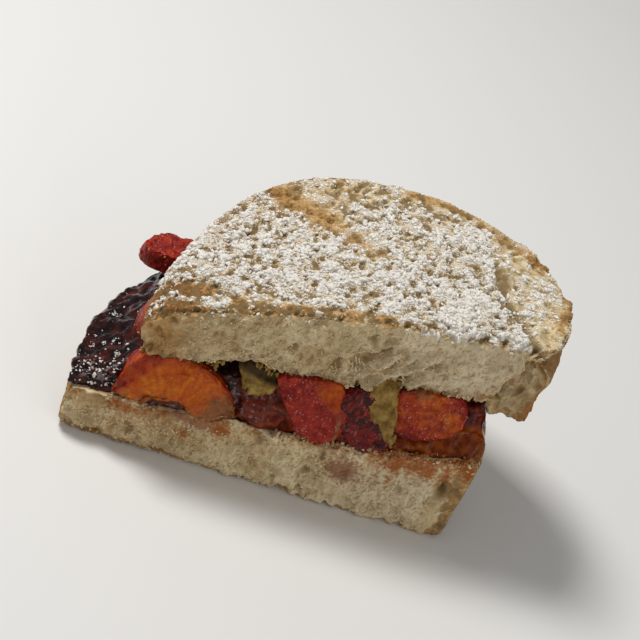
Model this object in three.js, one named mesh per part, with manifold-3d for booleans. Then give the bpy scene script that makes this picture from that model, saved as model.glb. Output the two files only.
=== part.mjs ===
// Half of a toasted peanut butter and jelly sandwich, cut straight across and lying on its bottom slice.
//
// Two thick slices of a country loaf hold a layer of jelly with strawberry pieces bedded in it, and
// above that a layer of peanut butter that sticks to the top slice and hangs out in tongues. The top
// slice has slid to the right and a little back, so the jelly lies bare on the left of the bottom slice.
//
// Units are millimetres and +Z is up. Shapes are worked out in the cut frame: X runs along the cut edge
// of the bottom slice from its middle, Y runs back from the cut face to the crust, and Z runs up from
// the base. The exported group moves that frame so that the origin is the middle of the base.

import * as THREE from "three";
import { mergeVertices } from "three/addons/utils/BufferGeometryUtils.js";
import Module from "manifold-3d";

const wasm = await Module();
wasm.setup();

// ---------------------------------------------------------------- driving dimensions

const BASE_MIDDLE_Y = 33; // from the cut face back to the middle of the base
const CUT_HALF_WIDTH = 53.5; // half the length of the cut edge of the bottom slice
const DEPTH = 68.5; // from the cut face to the back of the crust
const CLEARANCE = 0.3; // gap kept between pieces that touch

const BOTTOM_THIN = 13.5; // bottom slice at its pressed left end
const BOTTOM_SLOPE = 4.8; // steady gain in thickness from left to right
const BOTTOM_CURVE = 9.5; // further gain, growing with the square of the way
const CRUST_CHAMFER = 1.6; // rounding where a sliced face meets the crust

const UNDERSIDE_LOW = 30; // underside of the top slice at its left end
const UNDERSIDE_RISE = 0.2; // its slope towards the right
const UNDERSIDE_TURN_X = -31.5; // where the slope sets in
const UNDERSIDE_TURN_WIDTH = 12;

const TOP_THICKNESS = 21.3;
const TOP_DROOP = 7.3; // loss of thickness at the ends of the top slice
const TOP_CREST_X = 18.5; // where the top slice is thickest
const TOP_REACH = 60; // from the crest to the end

const PEANUT_BUTTER_THICKNESS = 3.6;
const BARE_JELLY_RISE = 3.5; // height of the jelly at the edge of the bare part
const BARE_JELLY_SHARE = 0.2; // share of the width over which the jelly climbs to full height

// ---------------------------------------------------------------- materials

const paint = (color, roughness) =>
  new THREE.MeshStandardMaterial({ color, roughness, metalness: 0 });

const materials = {
  bread: paint("#d9c39a", 0.9),
  peanutButter: paint("#a98449", 0.5),
  jelly: paint("#4a0f14", 0.12),
  strawberry: paint("#b8331d", 0.3),
};

// ---------------------------------------------------------------- heights

const clamp01 = (t) => Math.min(1, Math.max(0, t));
const smooth = (t) => clamp01(t) ** 2 * (3 - 2 * clamp01(t));
const lerp = (a, b, t) => a + (b - a) * t;

// Top of the bottom slice: a wedge that thickens from left to right.
function bottomTop(x) {
  const s = (x + CUT_HALF_WIDTH) / (2 * CUT_HALF_WIDTH);
  return BOTTOM_THIN + BOTTOM_SLOPE * s + BOTTOM_CURVE * s * s;
}

// Underside of the top slice: level at the left, then a steady rise, with a soft turn between.
function underside(x) {
  const t = x - UNDERSIDE_TURN_X;
  return UNDERSIDE_LOW + (UNDERSIDE_RISE / 2) * (t + Math.hypot(t, UNDERSIDE_TURN_WIDTH));
}

// Upper face of the top slice: the slice is thickest at its crest and droops to both ends.
const topFace = (x) =>
  underside(x) + TOP_THICKNESS - TOP_DROOP * ((x - TOP_CREST_X) / TOP_REACH) ** 2;

// ---------------------------------------------------------------- outlines of the half slices

// The crust of a half slice, from the front left corner round the back to the front right corner. It
// is four cubic curves that meet at the left shoulder, the back and the right shoulder.
const BOTTOM_OUTLINE = outlineOf([
  [-53.5, 0], [-54.6, 14], [-52, 31],
  [-41.5, 47], [-33, 60], [-20, 68.5],
  [-5, 68.5], [12, 68.5], [32, 62],
  [45, 46], [57.5, 34], [63, 14],
  [55.5, 0],
]);

const TOP_OUTLINE = outlineOf([
  [-41.3, 2.4], [-41.5, 15], [-38, 31],
  [-29.5, 47], [-23, 57], [-12, 70.8],
  [4, 71], [20, 71], [39, 67.5],
  [54, 54], [67.5, 42], [73, 24],
  [62.5, 7.8],
]);

function outlineOf(controls) {
  const points = controls.map(([x, y]) => new THREE.Vector2(x, y));
  const curves = [0, 3, 6, 9].map((i) => new THREE.CubicBezierCurve(...points.slice(i, i + 4)));
  return { curves, frontLeft: points[0], frontRight: points[12] };
}

// A point of a half slice from two shares of the way: u from left to right and v from the cut edge to
// the back. The four edges are blended as a Coons patch.
function planPoint({ curves, frontLeft, frontRight }, u, v) {
  const [leftFlank, backLeft, backRight, rightFlank] = curves;
  const front = frontLeft.clone().lerp(frontRight, u);
  const back = u < 0.5 ? backLeft.getPoint(2 * u) : backRight.getPoint(2 * u - 1);
  const across = leftFlank.getPoint(v).lerp(rightFlank.getPoint(1 - v), u);
  const shoulders = leftFlank.getPoint(1).lerp(rightFlank.getPoint(0), u);
  const corners = front.clone().lerp(shoulders, v);
  return across.add(front.lerp(back, v)).sub(corners);
}

// ---------------------------------------------------------------- solids

// A closed three.js geometry as a solid for cutting and joining.
function solidOf(geometry, matrix = new THREE.Matrix4()) {
  const bare = geometry.clone().applyMatrix4(matrix);
  bare.deleteAttribute("normal");
  bare.deleteAttribute("uv");
  const merged = mergeVertices(bare, 1e-4);
  return new wasm.Manifold(
    new wasm.Mesh({
      numProp: 3,
      vertProperties: merged.attributes.position.array,
      triVerts: new Uint32Array(merged.index.array),
    }),
  );
}

// A solid as a named three.js mesh.
function meshOf(name, solid, material) {
  const { vertProperties, triVerts, numProp } = solid.getMesh();
  const positions = new Float32Array((vertProperties.length / numProp) * 3);
  for (let i = 0; i < positions.length / 3; i++)
    positions.set(vertProperties.subarray(i * numProp, i * numProp + 3), i * 3);
  const geometry = new THREE.BufferGeometry()
    .setAttribute("position", new THREE.BufferAttribute(positions, 3))
    .setIndex(new THREE.BufferAttribute(triVerts, 1));
  geometry.computeVertexNormals();
  const mesh = new THREE.Mesh(geometry, material);
  mesh.name = name;
  return mesh;
}

// A box grid of unit half size, bent by a function of its three coordinates.
function bentBox(segments, bend) {
  const geometry = new THREE.BoxGeometry(2, 2, 2, ...segments);
  const position = geometry.attributes.position;
  for (let i = 0; i < position.count; i++) {
    const bent = bend(position.getX(i), position.getY(i), position.getZ(i));
    position.setXYZ(i, bent.x, bent.y, bent.z);
  }
  return geometry;
}

// A layer with the outline of a half slice. It is drawn in by `inset` from the crust, and by `front`
// from the cut face, and its crust edges are rounded by `chamfer` above and below.
function layer({ outline, segments, inset = () => 0, front = 0, chamfer = 0, lower, upper }) {
  const { frontLeft, frontRight } = outline;
  const middleX = (frontLeft.x + frontRight.x) / 2;
  return bentBox(segments, (p, q, w) => {
    const u = (p + 1) / 2;
    const drawnIn = inset(u) + (Math.abs(w) > 0.999 ? chamfer : 0);
    const plan = planPoint(outline, u, (q + 1) / 2);
    const frontY = lerp(frontLeft.y, frontRight.y, u);
    const x = middleX + (plan.x - middleX) * (1 - drawnIn / CUT_HALF_WIDTH);
    const y = frontY + front + (plan.y - frontY) * (1 - (drawnIn + front) / DEPTH);
    return new THREE.Vector3(x, y, lerp(lower(x, u), upper(x, u), (w + 1) / 2));
  });
}

// ---------------------------------------------------------------- bread

const BREAD_SEGMENTS = [20, 12, 3];

// Each slice can be made thicker on the side of the filling by `grown`, to trim what lies against it.
const bottomSlice = (grown = 0) =>
  layer({
    outline: BOTTOM_OUTLINE,
    segments: BREAD_SEGMENTS,
    chamfer: CRUST_CHAMFER,
    lower: () => 0,
    upper: (x) => bottomTop(x) + grown,
  });

const topSlice = (grown = 0) =>
  layer({
    outline: TOP_OUTLINE,
    segments: BREAD_SEGMENTS,
    chamfer: CRUST_CHAMFER,
    lower: (x) => underside(x) - grown,
    upper: topFace,
  });

// At the right end of the top slice the crumb is torn away from the crust. The crust hangs down there
// as a flap that leans in, so that its inner side faces the front.
const FLAP = {
  low: 39.5, // lowest edge
  high: 62, // where it joins the unbroken slice
  leftLow: 48.5, // X of its inner edge below and above
  leftHigh: 57,
  rightLow: 63.4, // X of its outer edge below and above
  rightHigh: 63.6,
  frontRight: 8.2, // Y of its face at the outer edge
  recess: 4, // how much deeper the face lies at the inner edge
  thickness: 4,
  wrap: 9, // how much further it reaches back along the crust
};
const TEAR_REACH = 12; // how far the tear reaches out in front, and below, of the face

// The point of the flap's face at a share u from its inner to its outer edge, and v from below to above.
function flapFace(u, v) {
  const left = lerp(FLAP.leftLow, FLAP.leftHigh, v);
  const right = lerp(FLAP.rightLow, FLAP.rightHigh, v ** 0.6);
  const z = lerp(FLAP.low + 2.2 * u, FLAP.high, v);
  return new THREE.Vector3(lerp(left, right, u), FLAP.frontRight + FLAP.recess * (1 - u) ** 1.5, z);
}

function crustFlap(grown = 0) {
  return bentBox([4, 2, 4], (p, q, w) => {
    const u = (p + 1) / 2;
    const v = (w + 1) / 2;
    const back = FLAP.thickness + FLAP.wrap * u * v;
    const face = flapFace(u, v);
    const depth = (back * (q + 1)) / 2;
    return new THREE.Vector3(face.x + p * grown, face.y + depth + q * grown, face.z + w * grown);
  });
}

// What is missing in front of the flap.
const tear = () =>
  bentBox([4, 1, 4], (p, q, w) => {
    const u = (p + 1) / 2;
    const v = (w + 1) / 2;
    const face = flapFace(u, v);
    const x = face.x + (u === 1 ? TEAR_REACH : 0);
    const z = face.z - (v === 0 ? TEAR_REACH : 0);
    return new THREE.Vector3(x, face.y - (q < 0 ? TEAR_REACH : 0), z);
  });

// ---------------------------------------------------------------- strawberries

const BERRY_SIDES = 16;
const BERRY_RINGS = 10;

// A whole strawberry, turned about X with its shoulder at -X and its tip at +X. Its radius follows a
// blunt oval whose widest place lies towards the shoulder.
function berry(length, radius) {
  const profile = [];
  for (let i = 0; i <= BERRY_RINGS; i++) {
    const t = (1 - Math.cos((Math.PI * i) / BERRY_RINGS)) / 2;
    const fullness = Math.sqrt(Math.max(0, 1 - Math.abs(2 * t ** 0.8 - 1) ** 2.5));
    const r = i === 0 || i === BERRY_RINGS ? 0 : radius * fullness;
    profile.push(new THREE.Vector2(r, (t - 0.5) * length));
  }
  return new THREE.LatheGeometry(profile, BERRY_SIDES).rotateZ(-Math.PI / 2);
}

// The pieces of strawberry that show. `at` is the middle of the whole berry, `turn` its rotation in
// degrees about X, Y and Z, `sliced` the span of its own Z that is kept, and `cutAt` the Y of its cut
// face below the lean, where the sandwich's cut went through it.
const BERRIES = {
  strawberry_front_left: {
    length: 33, radius: 15.6, at: [-26, 2, 15.6], turn: [0, 4, 0], sliced: [0, 20], cutAt: 0 },
  strawberry_middle: {
    length: 25, radius: 9.8, at: [8.3, 5, 28.8], turn: [0, 55, 8], sliced: [-6.6, 20], cutAt: 0 },
  strawberry_jammed: {
    length: 22, radius: 8.2, at: [23.5, 5, 29.5], turn: [10, 52, 0], sliced: [-6.5, 6.5], cutAt: 0 },
  strawberry_right: {
    length: 21, radius: 8.8, at: [37.8, 7, 37], turn: [0, -18, 0], sliced: [-7.2, 7], cutAt: 1.5 },
  strawberry_left: {
    length: 24, radius: 8.5, at: [-32, 27, 23], turn: [0, 0, 75], sliced: [-5, 5] },
  strawberry_back_left: {
    length: 30, radius: 6.4, at: [-30, 50.5, 26.4], turn: [0, 4, -12], sliced: [-2.8, 4.2] },
  strawberry_back_right: {
    length: 26, radius: 9, at: [23, 54.5, 31], turn: [0, 0, 62], sliced: [-4.5, 5] },
};

// The cut through the filling leans back: above a line that rises to the right it goes back by this
// share of the height.
const LEAN = 0.26;
const LEAN_START = 20.4; // height of that line at X = 0
const LEAN_START_RISE = 0.152;
const LEAN_LENGTH = Math.hypot(LEAN * LEAN_START_RISE, 1, LEAN);

// What lies behind the cut face at y, upright below and leaning back above, less a margin.
const behindCut = (solid, y, margin = 0) =>
  solid
    .trimByPlane([0, 1, 0], y - margin)
    .trimByPlane(
      [(LEAN * LEAN_START_RISE) / LEAN_LENGTH, 1 / LEAN_LENGTH, -LEAN / LEAN_LENGTH],
      (y - LEAN * LEAN_START) / LEAN_LENGTH - margin);

const BIG = 200; // larger than the sandwich
const box = (lowX, lowY, lowZ, highX, highY, highZ) =>
  solidOf(
    new THREE.BoxGeometry(highX - lowX, highY - lowY, highZ - lowZ),
    new THREE.Matrix4().makeTranslation((lowX + highX) / 2, (lowY + highY) / 2, (lowZ + highZ) / 2),
  );

// A berry piece, or with `grown` above zero the slightly larger hollow that it needs around it.
function berryPiece({ length, radius, at, turn, sliced, cutAt }, grown = 0) {
  const whole = solidOf(berry(length + 2 * grown, radius + grown));
  const kept = whole.intersect(
    box(-BIG, -BIG, sliced[0] - grown, BIG, BIG, sliced[1] + grown));
  const [rx, ry, rz] = turn.map(THREE.MathUtils.degToRad);
  const matrix = new THREE.Matrix4()
    .makeRotationFromEuler(new THREE.Euler(rx, ry, rz, "ZYX"))
    .setPosition(...at);
  const placed = kept.transform(matrix.toArray());
  return cutAt === undefined ? placed : behindCut(placed, cutAt, grown);
}

// ---------------------------------------------------------------- peanut butter and jelly

const peanutButterTop = (x) => underside(x) - CLEARANCE;
const peanutButterBottom = (x) => peanutButterTop(x) - PEANUT_BUTTER_THICKNESS;

// The peanut butter sheet has the top slice's outline, a little smaller.
const peanutButterSheet = (grown = 0) =>
  layer({
    outline: TOP_OUTLINE,
    segments: [16, 8, 2],
    inset: () => 2.2 - grown,
    front: 2.4 - grown,
    lower: (x) => peanutButterBottom(x) - grown,
    upper: peanutButterTop,
  });

// Tongues of peanut butter that hang over the front of the filling: middle, half sizes, slant and the
// Y of their front.
const TONGUES = [
  { at: [-7.2, 3.4, 30.4], half: [7.2, 4, 5], slant: -6, front: 0.4 },
  { at: [26.4, 2.6, 34.6], half: [4.6, 4.6, 11.4], slant: 33, front: -1.3 },
];

function tongue({ at, half, slant, front }, grown = 0) {
  const shape = new THREE.SphereGeometry(1, 14, 10);
  const matrix = new THREE.Matrix4()
    .makeRotationY(THREE.MathUtils.degToRad(-slant))
    .setPosition(...at)
    .scale(new THREE.Vector3(...half.map((h) => h + grown)));
  return behindCut(solidOf(shape, matrix), front, grown);
}

const JELLY_FRONT = 0.9; // Y of its front below the lean

// The jelly fills the space up to the peanut butter. On the left, where the top slice has slid away,
// it falls in a slope to the edge of the bread.
const jellySheet = () =>
  layer({
    outline: BOTTOM_OUTLINE,
    segments: [16, 8, 2],
    inset: (u) => lerp(0.6, 2.4, u),
    front: JELLY_FRONT,
    chamfer: 0.8,
    lower: (x) => bottomTop(x) + CLEARANCE,
    upper: (x, u) => {
      const floor = bottomTop(x) + CLEARANCE;
      const ceiling = peanutButterBottom(x) - CLEARANCE;
      return lerp(floor + BARE_JELLY_RISE, ceiling, smooth(u / BARE_JELLY_SHARE));
    },
  });

// The largest body of a solid, without slivers that a cut has left.
const largest = (solid) =>
  solid.decompose().reduce((a, b) => (b.volume() > a.volume() ? b : a));

// ---------------------------------------------------------------- assembly

const cutOut = (solid, cutters) => cutters.reduce((rest, cutter) => rest.subtract(cutter), solid);

const bottomBread = solidOf(bottomSlice());
const topBread = solidOf(topSlice()).subtract(solidOf(tear())).add(solidOf(crustFlap()));
const bottomPress = solidOf(bottomSlice(CLEARANCE));
const topPress = solidOf(topSlice(CLEARANCE));
const flapHollow = solidOf(crustFlap(CLEARANCE));

const sheet = solidOf(peanutButterSheet());
const tongues = TONGUES.map((t) => tongue(t).subtract(topPress));
const peanutButter = tongues.reduce((all, t) => all.add(t), sheet).subtract(flapHollow);
const tongueHollows = TONGUES.map((t) => tongue(t, CLEARANCE));

// The berries are pressed flat where they meet the bread and the peanut butter, and each gives way to
// those before it.
const pressing = [
  bottomPress, topPress, flapHollow, solidOf(peanutButterSheet(CLEARANCE)), ...tongueHollows];
const pieces = [];
const hollows = [];
for (const [name, spec] of Object.entries(BERRIES)) {
  pieces.push({ name, piece: cutOut(berryPiece(spec), [...pressing, ...hollows]) });
  hollows.push(berryPiece(spec, CLEARANCE));
}
const jelly = cutOut(behindCut(solidOf(jellySheet()), JELLY_FRONT), [
  ...hollows, ...tongueHollows, flapHollow]);

const sandwich = new THREE.Group();
sandwich.add(meshOf("bread_bottom", bottomBread, materials.bread));
sandwich.add(meshOf("jelly", largest(jelly), materials.jelly));
for (const { name, piece } of pieces) sandwich.add(meshOf(name, largest(piece), materials.strawberry));
sandwich.add(meshOf("peanut_butter", largest(peanutButter), materials.peanutButter));
sandwich.add(meshOf("bread_top", topBread, materials.bread));
sandwich.position.y = -BASE_MIDDLE_Y;

export default sandwich;
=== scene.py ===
"""Looks of the cut half of a toasted peanut butter and jelly sandwich with strawberry pieces.

Shapes are worked out in millimetres in the cut frame: X runs along the cut edge from its middle, Y runs
back from the cut face to the crust, Z runs up from the base. make_piece() puts them into the frame of the
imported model, in metres.
"""

import collections
import itertools
import math

import bpy
import numpy as np
from mathutils import Matrix, Vector


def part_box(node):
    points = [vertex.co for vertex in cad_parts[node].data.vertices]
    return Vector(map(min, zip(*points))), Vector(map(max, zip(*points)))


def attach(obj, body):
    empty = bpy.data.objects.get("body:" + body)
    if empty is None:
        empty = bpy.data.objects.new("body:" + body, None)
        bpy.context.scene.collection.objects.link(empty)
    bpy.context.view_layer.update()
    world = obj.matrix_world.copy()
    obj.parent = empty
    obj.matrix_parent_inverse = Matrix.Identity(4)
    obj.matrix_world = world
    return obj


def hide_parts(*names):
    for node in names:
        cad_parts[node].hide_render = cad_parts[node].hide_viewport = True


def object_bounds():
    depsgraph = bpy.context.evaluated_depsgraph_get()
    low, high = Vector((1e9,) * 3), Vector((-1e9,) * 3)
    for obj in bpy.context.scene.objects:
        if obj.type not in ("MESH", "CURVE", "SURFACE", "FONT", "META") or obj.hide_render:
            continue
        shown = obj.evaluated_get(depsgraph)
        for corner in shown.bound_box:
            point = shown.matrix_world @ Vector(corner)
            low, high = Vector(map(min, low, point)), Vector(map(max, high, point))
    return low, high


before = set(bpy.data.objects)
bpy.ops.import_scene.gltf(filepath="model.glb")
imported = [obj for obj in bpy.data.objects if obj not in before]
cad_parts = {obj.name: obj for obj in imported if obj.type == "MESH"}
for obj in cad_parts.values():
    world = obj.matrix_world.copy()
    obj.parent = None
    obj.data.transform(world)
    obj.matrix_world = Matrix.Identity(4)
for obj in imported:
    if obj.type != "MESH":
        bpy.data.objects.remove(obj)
CAD_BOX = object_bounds()

MM = 0.001
BASE_LOW, BASE_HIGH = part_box("bread_bottom")
CUT_Y = BASE_LOW.y / MM  # the cut face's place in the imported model's frame

# ---------------------------------------------------------------- driving dimensions, as in the solids

CUT_HALF_WIDTH = 53.5
DEPTH = (BASE_HIGH.y - BASE_LOW.y) / MM
CLEARANCE = 0.3
TINY = 1e-12  # keeps a division by nothing away

BOTTOM_THIN = 13.5
BOTTOM_SLOPE = 4.8
BOTTOM_CURVE = 9.5
UNDERSIDE_LOW = 30.0
UNDERSIDE_RISE = 0.2
UNDERSIDE_TURN_X = -31.5
UNDERSIDE_TURN_WIDTH = 12.0
TOP_THICKNESS = 21.3
TOP_DROOP = 7.3
TOP_CREST_X = 18.5
TOP_REACH = 60.0
PEANUT_BUTTER_THICKNESS = 3.6
BARE_JELLY_RISE = 3.5
BARE_JELLY_SHARE = 0.2
LEAN = 0.26
LEAN_START = 20.4
LEAN_START_RISE = 0.152

# The crust of each half slice, from the front left corner round the back to the front right corner:
# four cubic curves that meet at the left shoulder, the back and the right shoulder.
BOTTOM_OUTLINE = np.array([
    (-53.5, 0), (-54.6, 14), (-52, 31),
    (-41.5, 47), (-33, 60), (-20, 68.5),
    (-5, 68.5), (12, 68.5), (32, 62),
    (45, 46), (57.5, 34), (63, 14),
    (55.5, 0)])
TOP_OUTLINE = np.array([
    (-41.3, 2.4), (-41.5, 15), (-38, 31),
    (-29.5, 47), (-23, 57), (-12, 70.8),
    (4, 71), (20, 71), (39, 67.5),
    (54, 54), (67.5, 42), (73, 24),
    (62.5, 7.8)])

# ---------------------------------------------------------------- small formulas


def smooth(t):
    """A share of the way, eased at both ends: t squared times 3 minus 2 t, with t kept from 0 to 1."""
    t = np.clip(t, 0, 1)
    return t * t * (3 - 2 * t)


def ramp(value, start, end):
    """The eased share of the way from a start, where it is 0, to an end, where it is 1."""
    return smooth((value - start) / (end - start))


def lerp(a, b, t):
    """The value at a share t of the way from a to b."""
    return a + (b - a) * t


def clip(value):
    """A value kept from 0 to 1."""
    return np.clip(value, 0, 1)


def bump_at(distance, reach):
    """1 at distance 0, falling to 0 like a bell; at the reach it is about a third."""
    return np.exp(-((distance / reach) ** 2))


def spot(across, along, middle, half):
    """1 at a place on a face, falling like a bell to about a third at the two half sizes."""
    return bump_at(np.hypot((across - middle[0]) / half[0], (along - middle[1]) / half[1]), 1.0)


def dome(distance, reach):
    """1 at distance 0, falling with its square to 0 at the reach and beyond."""
    return clip(1 - (distance / reach) ** 2)


def bottom_top(x):
    """Top of the bottom slice: its thickness grows from left to right with the way and its square."""
    s = (x + CUT_HALF_WIDTH) / (2 * CUT_HALF_WIDTH)
    return BOTTOM_THIN + BOTTOM_SLOPE * s + BOTTOM_CURVE * s * s


def underside(x):
    """Underside of the top slice: level at the left, then a steady rise, with a soft turn between."""
    t = x - UNDERSIDE_TURN_X
    return UNDERSIDE_LOW + UNDERSIDE_RISE / 2 * (t + np.hypot(t, UNDERSIDE_TURN_WIDTH))


def top_face(x):
    """Upper face of the top slice: thickest at its crest, drooping to both ends with the square."""
    return underside(x) + TOP_THICKNESS - TOP_DROOP * ((x - TOP_CREST_X) / TOP_REACH) ** 2


def lean(x, z):
    """How far back the cut through the filling lies: a plane that starts at the cut edge of the bottom
    slice and leans back to the front of the top slice."""
    return LEAN * np.maximum(z - LEAN_START - LEAN_START_RISE * x, 0)


def soft_above(value, limit, softness):
    """Keeps a value above its limit with a rounded step: the limit plus half of the excess and the
    hypotenuse of excess and softness."""
    excess = value - limit
    return limit + (excess + np.hypot(excess, softness)) / 2


# ---------------------------------------------------------------- noise


def cell_value(cells, seed):
    """A pseudo-random value from 0 to 1 for each whole-number cell: its three coordinates are multiplied
    by large numbers, combined and mixed by shifts."""
    c = cells.astype(np.int64).astype(np.uint64)
    n = c[..., 0] * np.uint64(73856093) ^ c[..., 1] * np.uint64(19349663)
    n = n ^ c[..., 2] * np.uint64(83492791) ^ np.uint64(seed * 2654435761 % 2**32)
    low_bits = np.uint64(0xFFFFFFFF)
    n &= low_bits
    for shift, factor in ((15, 2246822519), (13, 3266489917)):
        n = ((n ^ (n >> np.uint64(shift))) * np.uint64(factor)) & low_bits
    return (n ^ (n >> np.uint64(16))).astype(float) / 2**32


def noise(points, size, seed):
    """Values from -1 to 1 on a cubic lattice of the given size, blended smoothly between its points."""
    q = points / size
    base = np.floor(q)
    f = smooth(q - base)
    total = 0
    for corner in itertools.product((0, 1), repeat=3):
        weight = np.prod(np.where(corner, f, 1 - f), axis=-1)
        total = total + weight * cell_value(base + corner, seed)
    return 2 * total - 1


def rough(points, size, seed, octaves=3, gain=0.55):
    """Noise with finer and weaker copies of itself added, each half the size of the one before."""
    total = sum(gain**k * noise(points, size / 2**k, seed + 17 * k) for k in range(octaves))
    return total / sum(gain**k for k in range(octaves))


def bent(points, size, seed, reach):
    """The points moved by up to a reach, each coordinate by noise of its own."""
    return points + reach * np.stack([noise(points, size, seed + k) for k in range(3)], axis=-1)


def cells(points, size, seed):
    """Distance to the nearest of scattered centres, one in each cubic cell, in cell sizes, and a random
    value of that centre."""
    q = points / size
    base = np.floor(q)
    nearest = np.full(len(q), np.inf)
    value = np.zeros(len(q))
    for offset in itertools.product((-1, 0, 1), repeat=3):
        cell = base + offset
        centre = cell + np.stack([cell_value(cell, seed + k) for k in range(3)], axis=-1)
        distance = np.linalg.norm(q - centre, axis=-1)
        value = np.where(distance < nearest, cell_value(cell, seed + 3), value)
        nearest = np.minimum(nearest, distance)
    return nearest, value


def domes(points, size, seed, reach):
    """Round domes about the scattered centres of cells, with their reach in cell sizes."""
    return dome(cells(points, size, seed)[0], reach)


# ---------------------------------------------------------------- outlines


def bezier(points, t):
    """A cubic curve through four control points, weighted by the powers of t and 1 - t."""
    t = np.asarray(t)[..., None]
    a, b, c, d = points
    return (1 - t) ** 3 * a + 3 * (1 - t) ** 2 * t * b + 3 * (1 - t) * t * t * c + t**3 * d


def plan_point(outline, u, v):
    """A point of the half slice from two shares of the way, u from left to right and v from the cut edge
    to the back. The cut edge, the two flanks and the back are blended as a Coons patch."""
    left, back_left = outline[0:4], outline[3:7]
    back_right, right = outline[6:10], outline[9:13][::-1]
    uu, vv = u[..., None], v[..., None]
    front = lerp(outline[0], outline[12], uu)
    back = np.where(uu < 0.5, bezier(back_left, 2 * u), bezier(back_right, 2 * u - 1))
    across = lerp(bezier(left, v), bezier(right, v), uu)
    shoulders = lerp(outline[3], outline[9], uu)
    return across + lerp(front, back, vv) - lerp(front, shoulders, vv)


def middle_x(outline):
    """Halfway along the front of an outline."""
    return (outline[0, 0] + outline[12, 0]) / 2


def crust_distance(outline, xy, samples=48):
    """Distance in plan from each point to the crust, over points taken along its four curves."""
    t = np.linspace(0, 1, samples)
    line = np.concatenate([bezier(outline[i:i + 4], t) for i in (0, 3, 6, 9)])
    nearest = np.full(len(xy), np.inf)
    for part in np.array_split(line, samples // 2):
        distance = np.linalg.norm(xy[:, None, :] - part[None], axis=-1).min(axis=1)
        nearest = np.minimum(nearest, distance)
    return nearest


def line_distance(xy, line):
    """Distance in plan from each point to a line of straight stretches."""
    nearest = np.full(len(xy), np.inf)
    for a, b in zip(line[:-1], line[1:]):
        a, b = np.array(a), np.array(b)
        t = clip((xy - a) @ (b - a) / ((b - a) @ (b - a)))
        nearest = np.minimum(nearest, np.linalg.norm(xy - a - t[:, None] * (b - a), axis=1))
    return nearest


# ---------------------------------------------------------------- meshes


def box_grid(across, deep, high):
    """The skin of a box as a grid: p, q and w from -1 to 1 for each point, and quads facing outwards."""
    steps = (across, deep, high)
    index = np.indices([n + 1 for n in steps])
    on_skin = np.zeros(index.shape[1:], bool)
    for axis, n in enumerate(steps):
        on_skin |= (index[axis] == 0) | (index[axis] == n)
    number = np.full(on_skin.shape, -1)
    number[on_skin] = np.arange(on_skin.sum())
    pqw = np.stack([2 * index[a][on_skin] / steps[a] - 1 for a in range(3)], axis=-1)
    quads = []
    for axis in range(3):
        for end in (0, -1):
            face = np.take(number, end, axis=axis)
            quad = np.stack([face[:-1, :-1], face[1:, :-1], face[1:, 1:], face[:-1, 1:]], axis=-1)
            quad = quad.reshape(-1, 4)
            outward = (end == -1) != (axis == 1)
            quads.append(quad if outward else quad[:, ::-1])
    return pqw, np.concatenate(quads)


def globe(sides, rings):
    """A closed unit globe with its poles on Z: rings of points at even angles and a point at each pole,
    every face a quad. At the poles the quads meet in pairs of triangles joined along a ring side."""
    angle = 2 * math.pi * np.arange(sides) / sides
    fall = math.pi * np.arange(1, rings) / rings
    ring = np.stack([
        np.sin(fall)[:, None] * np.cos(angle), np.sin(fall)[:, None] * np.sin(angle),
        np.cos(fall)[:, None] + 0 * angle], axis=-1).reshape(-1, 3)
    points = np.concatenate([ring, [[0, 0, 1], [0, 0, -1]]])
    number = np.arange((rings - 1) * sides).reshape(rings - 1, sides)
    after = np.roll(number, -1, axis=1)
    quads = np.stack([number[:-1], number[1:], after[1:], after[:-1]], axis=-1).reshape(-1, 4)
    even = np.arange(0, sides, 2)
    last = (rings - 2) * sides
    north = np.stack([even * 0 + len(ring), even, even + 1, (even + 2) % sides], axis=-1)
    south = np.stack([
        even * 0 + len(ring) + 1, last + (even + 2) % sides, last + even + 1, last + even], axis=-1)
    return points, np.concatenate([quads, north, south])


def crossed_diagonals(points, quads):
    """Each quad's crossed diagonals: a vector along its normal, twice as long as its area."""
    return np.cross(points[quads[:, 2]] - points[quads[:, 0]], points[quads[:, 3]] - points[quads[:, 1]])


def unit(vectors, least=TINY):
    """Each vector scaled to a length of one; the least length keeps a vector of nothing at nothing."""
    return vectors / (np.linalg.norm(vectors, axis=1, keepdims=True) + least)


def normals_of(points, quads):
    """Vertex normals: each quad's crossed diagonals, summed at its four corners and scaled to one."""
    crossed = crossed_diagonals(points, quads)
    total = np.zeros_like(points)
    for k in range(4):
        np.add.at(total, quads[:, k], crossed)
    return unit(total)


def make_piece(name, points, polygons, material, nodes=(), masks=None):
    """A mesh object from points in the cut frame and an array of triangles or quads. Masks are numbers
    for each point, kept as attributes that the material reads."""
    mesh = bpy.data.meshes.new(name)
    placed = (points + (0, CUT_Y, 0)) * MM
    corners = polygons.shape[1]
    mesh.vertices.add(len(placed))
    mesh.vertices.foreach_set("co", placed.astype(np.float32).ravel())
    mesh.loops.add(polygons.size)
    mesh.loops.foreach_set("vertex_index", polygons.astype(np.int32).ravel())
    mesh.polygons.add(len(polygons))
    mesh.polygons.foreach_set("loop_start", np.arange(len(polygons), dtype=np.int32) * corners)
    mesh.update(calc_edges=True)
    mesh.polygons.foreach_set("use_smooth", np.ones(len(polygons), bool))
    for key, values in (masks or {}).items():
        attribute = mesh.attributes.new(key, "FLOAT", "POINT")
        attribute.data.foreach_set("value", np.asarray(values, np.float32))
    mesh.materials.append(material)
    piece = bpy.data.objects.new(name, mesh)
    bpy.context.scene.collection.objects.link(piece)
    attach(piece, "root")
    if nodes:
        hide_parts(*nodes)


# ---------------------------------------------------------------- colours

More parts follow.
